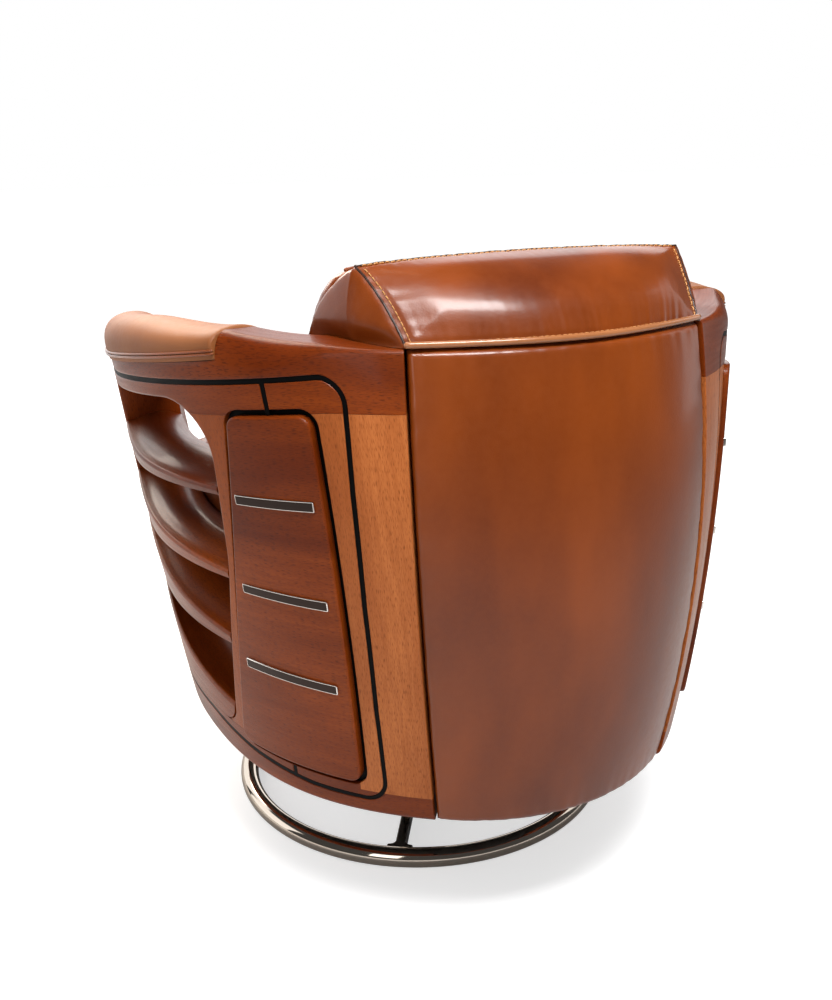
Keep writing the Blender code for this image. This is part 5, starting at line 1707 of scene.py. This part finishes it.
# %% Floor and world
FLOOR_GLOW = (0.60, 0.86)               # what the camera sees beside its lit colour: near, far
FLOOR_REACH, FLOOR_GREY, WHITE = 30.0, (0.62, 0.62, 0.62), (1.0, 1.0, 1.0)


def white_floor():
    """A pale floor that takes the chair's shadow."""
    mesh = bpy.data.meshes.new("floor")
    corners = [(x * FLOOR_REACH, y * FLOOR_REACH, 0) for x, y in ((-1, -1), (1, -1), (1, 1), (-1, 1))]
    mesh.from_pydata(corners, [], [(0, 1, 2, 3)])
    floor = placed("floor", mesh)
    material, tree, shader = new_finish("floor_white", 0.9, specular=0.1)
    give(tree, shader, FLOOR_GREY)
    away = add_node(tree, "ShaderNodeVectorMath", operation="LENGTH")
    tree.links.new(object_place(tree), away.inputs[0])
    path = add_node(tree, "ShaderNodeLightPath")
    glow = mathed(tree, "MULTIPLY", path.outputs["Is Camera Ray"],
                  ranged(tree, away.outputs["Value"], 0.6, 2.6, *FLOOR_GLOW))
    feed(tree, shader.inputs["Emission Color"], WHITE)
    feed(tree, shader.inputs["Emission Strength"], glow)
    mesh.materials.append(material)


def white_world(light, mirrored_light):
    """A world that the camera sees white: softer as light, and dim in reflections."""
    world = bpy.data.worlds.new("studio")
    bpy.context.scene.world = world
    world.use_nodes = True
    tree = world.node_tree
    background = tree.nodes["Background"]
    path = add_node(tree, "ShaderNodeLightPath")
    strength = ranged(tree, path.outputs["Is Glossy Ray"], 0.0, 1.0, light, mirrored_light)
    strength = mathed(tree, "MAXIMUM", strength, path.outputs["Is Camera Ray"])
    feed(tree, background.inputs["Color"], WHITE)
    feed(tree, background.inputs["Strength"], strength)


white_floor()
white_world(0.35, 0.08)
print("floor and world ready")

# %% [markdown]
# Large soft boxes light the chair as in a photographer's studio. Each is placed where a face of
# the chair mirrors it towards the camera, because that is where its sheen is seen.

# %% Soft boxes


def soft_box(name, place, target, size, power, colour=WHITE):
    """A rectangular soft light that faces a target."""
    light = bpy.data.lights.new(name, "AREA")
    light.shape = "RECTANGLE"
    light.size, light.size_y = size
    light.energy = power
    light.color = colour
    lamp = placed(name, light)
    lamp.location = place
    lamp.rotation_euler = (Vector(target) - Vector(place)).to_track_quat("-Z", "Y").to_euler()
    lamp.visible_camera = False


CHAIR_MIDDLE = (0.0, 0.05, 0.45)
WARM = (1.0, 0.86, 0.72)
soft_box("overhead_box", (0.18, 1.10, 2.10), (0.10, 0.38, 0.72), (0.95, 0.55), 53.0)
soft_box("arm_box", (0.35, -0.90, 2.10), (0.25, 0.10, 0.68), (0.60, 1.60), 28.0, WARM)
soft_box("key_box", (1.90, 1.80, 1.40), CHAIR_MIDDLE, (0.80, 1.40), 9.0)
soft_box("side_box", (-2.20, 0.35, 1.10), CHAIR_MIDDLE, (0.60, 1.60), 4.0)
soft_box("front_box", (-0.60, -3.20, 1.60), CHAIR_MIDDLE, (6.00, 3.00), 85.0)
soft_box("shelf_box", (0.35, -2.30, 1.95), (0.30, 0.0, 0.45), (1.30, 0.90), 38.0, WARM)
soft_box("left_box", (2.80, -1.90, 1.20), CHAIR_MIDDLE, (2.40, 2.20), 26.0)

# %% [markdown]
# The camera was found from the photograph: the ring's ellipse and the tub's outline fix where it
# stood. It looks down at the chair's back from the sitter's left.

# %% Camera
CAMERA_PLACE = (0.632, 1.313, 0.867)
CAMERA_TURN, CAMERA_DIP, CAMERA_ROLL = 0.4488, 0.3052, -0.0177
FOCAL_PIXELS, PHOTO_HIGH = 1112.0, 1000.0
SENSOR = 36.0


def photo_camera():
    """The camera at the photograph's viewpoint."""
    camera = bpy.data.cameras.new("photo_camera")
    camera.sensor_fit = "VERTICAL"
    camera.sensor_height = SENSOR
    camera.lens = FOCAL_PIXELS * SENSOR / PHOTO_HIGH
    level = Vector((-math.sin(CAMERA_TURN), -math.cos(CAMERA_TURN), 0))
    right = Vector((-math.cos(CAMERA_TURN), math.sin(CAMERA_TURN), 0))
    upright = Vector((0, 0, 1))
    forward = math.cos(CAMERA_DIP) * level - math.sin(CAMERA_DIP) * upright
    above = math.sin(CAMERA_DIP) * level + math.cos(CAMERA_DIP) * upright
    rolled_right = math.cos(CAMERA_ROLL) * right + math.sin(CAMERA_ROLL) * above
    rolled_up = -math.sin(CAMERA_ROLL) * right + math.cos(CAMERA_ROLL) * above
    holder = placed("photo_camera", camera)
    turn = Matrix((rolled_right, rolled_up, -forward)).transposed()
    holder.matrix_world = Matrix.Translation(CAMERA_PLACE) @ turn.to_4x4()
    bpy.context.scene.camera = holder


photo_camera()
bpy.context.scene.view_settings.view_transform = "Standard"
print("camera at", CAMERA_PLACE)
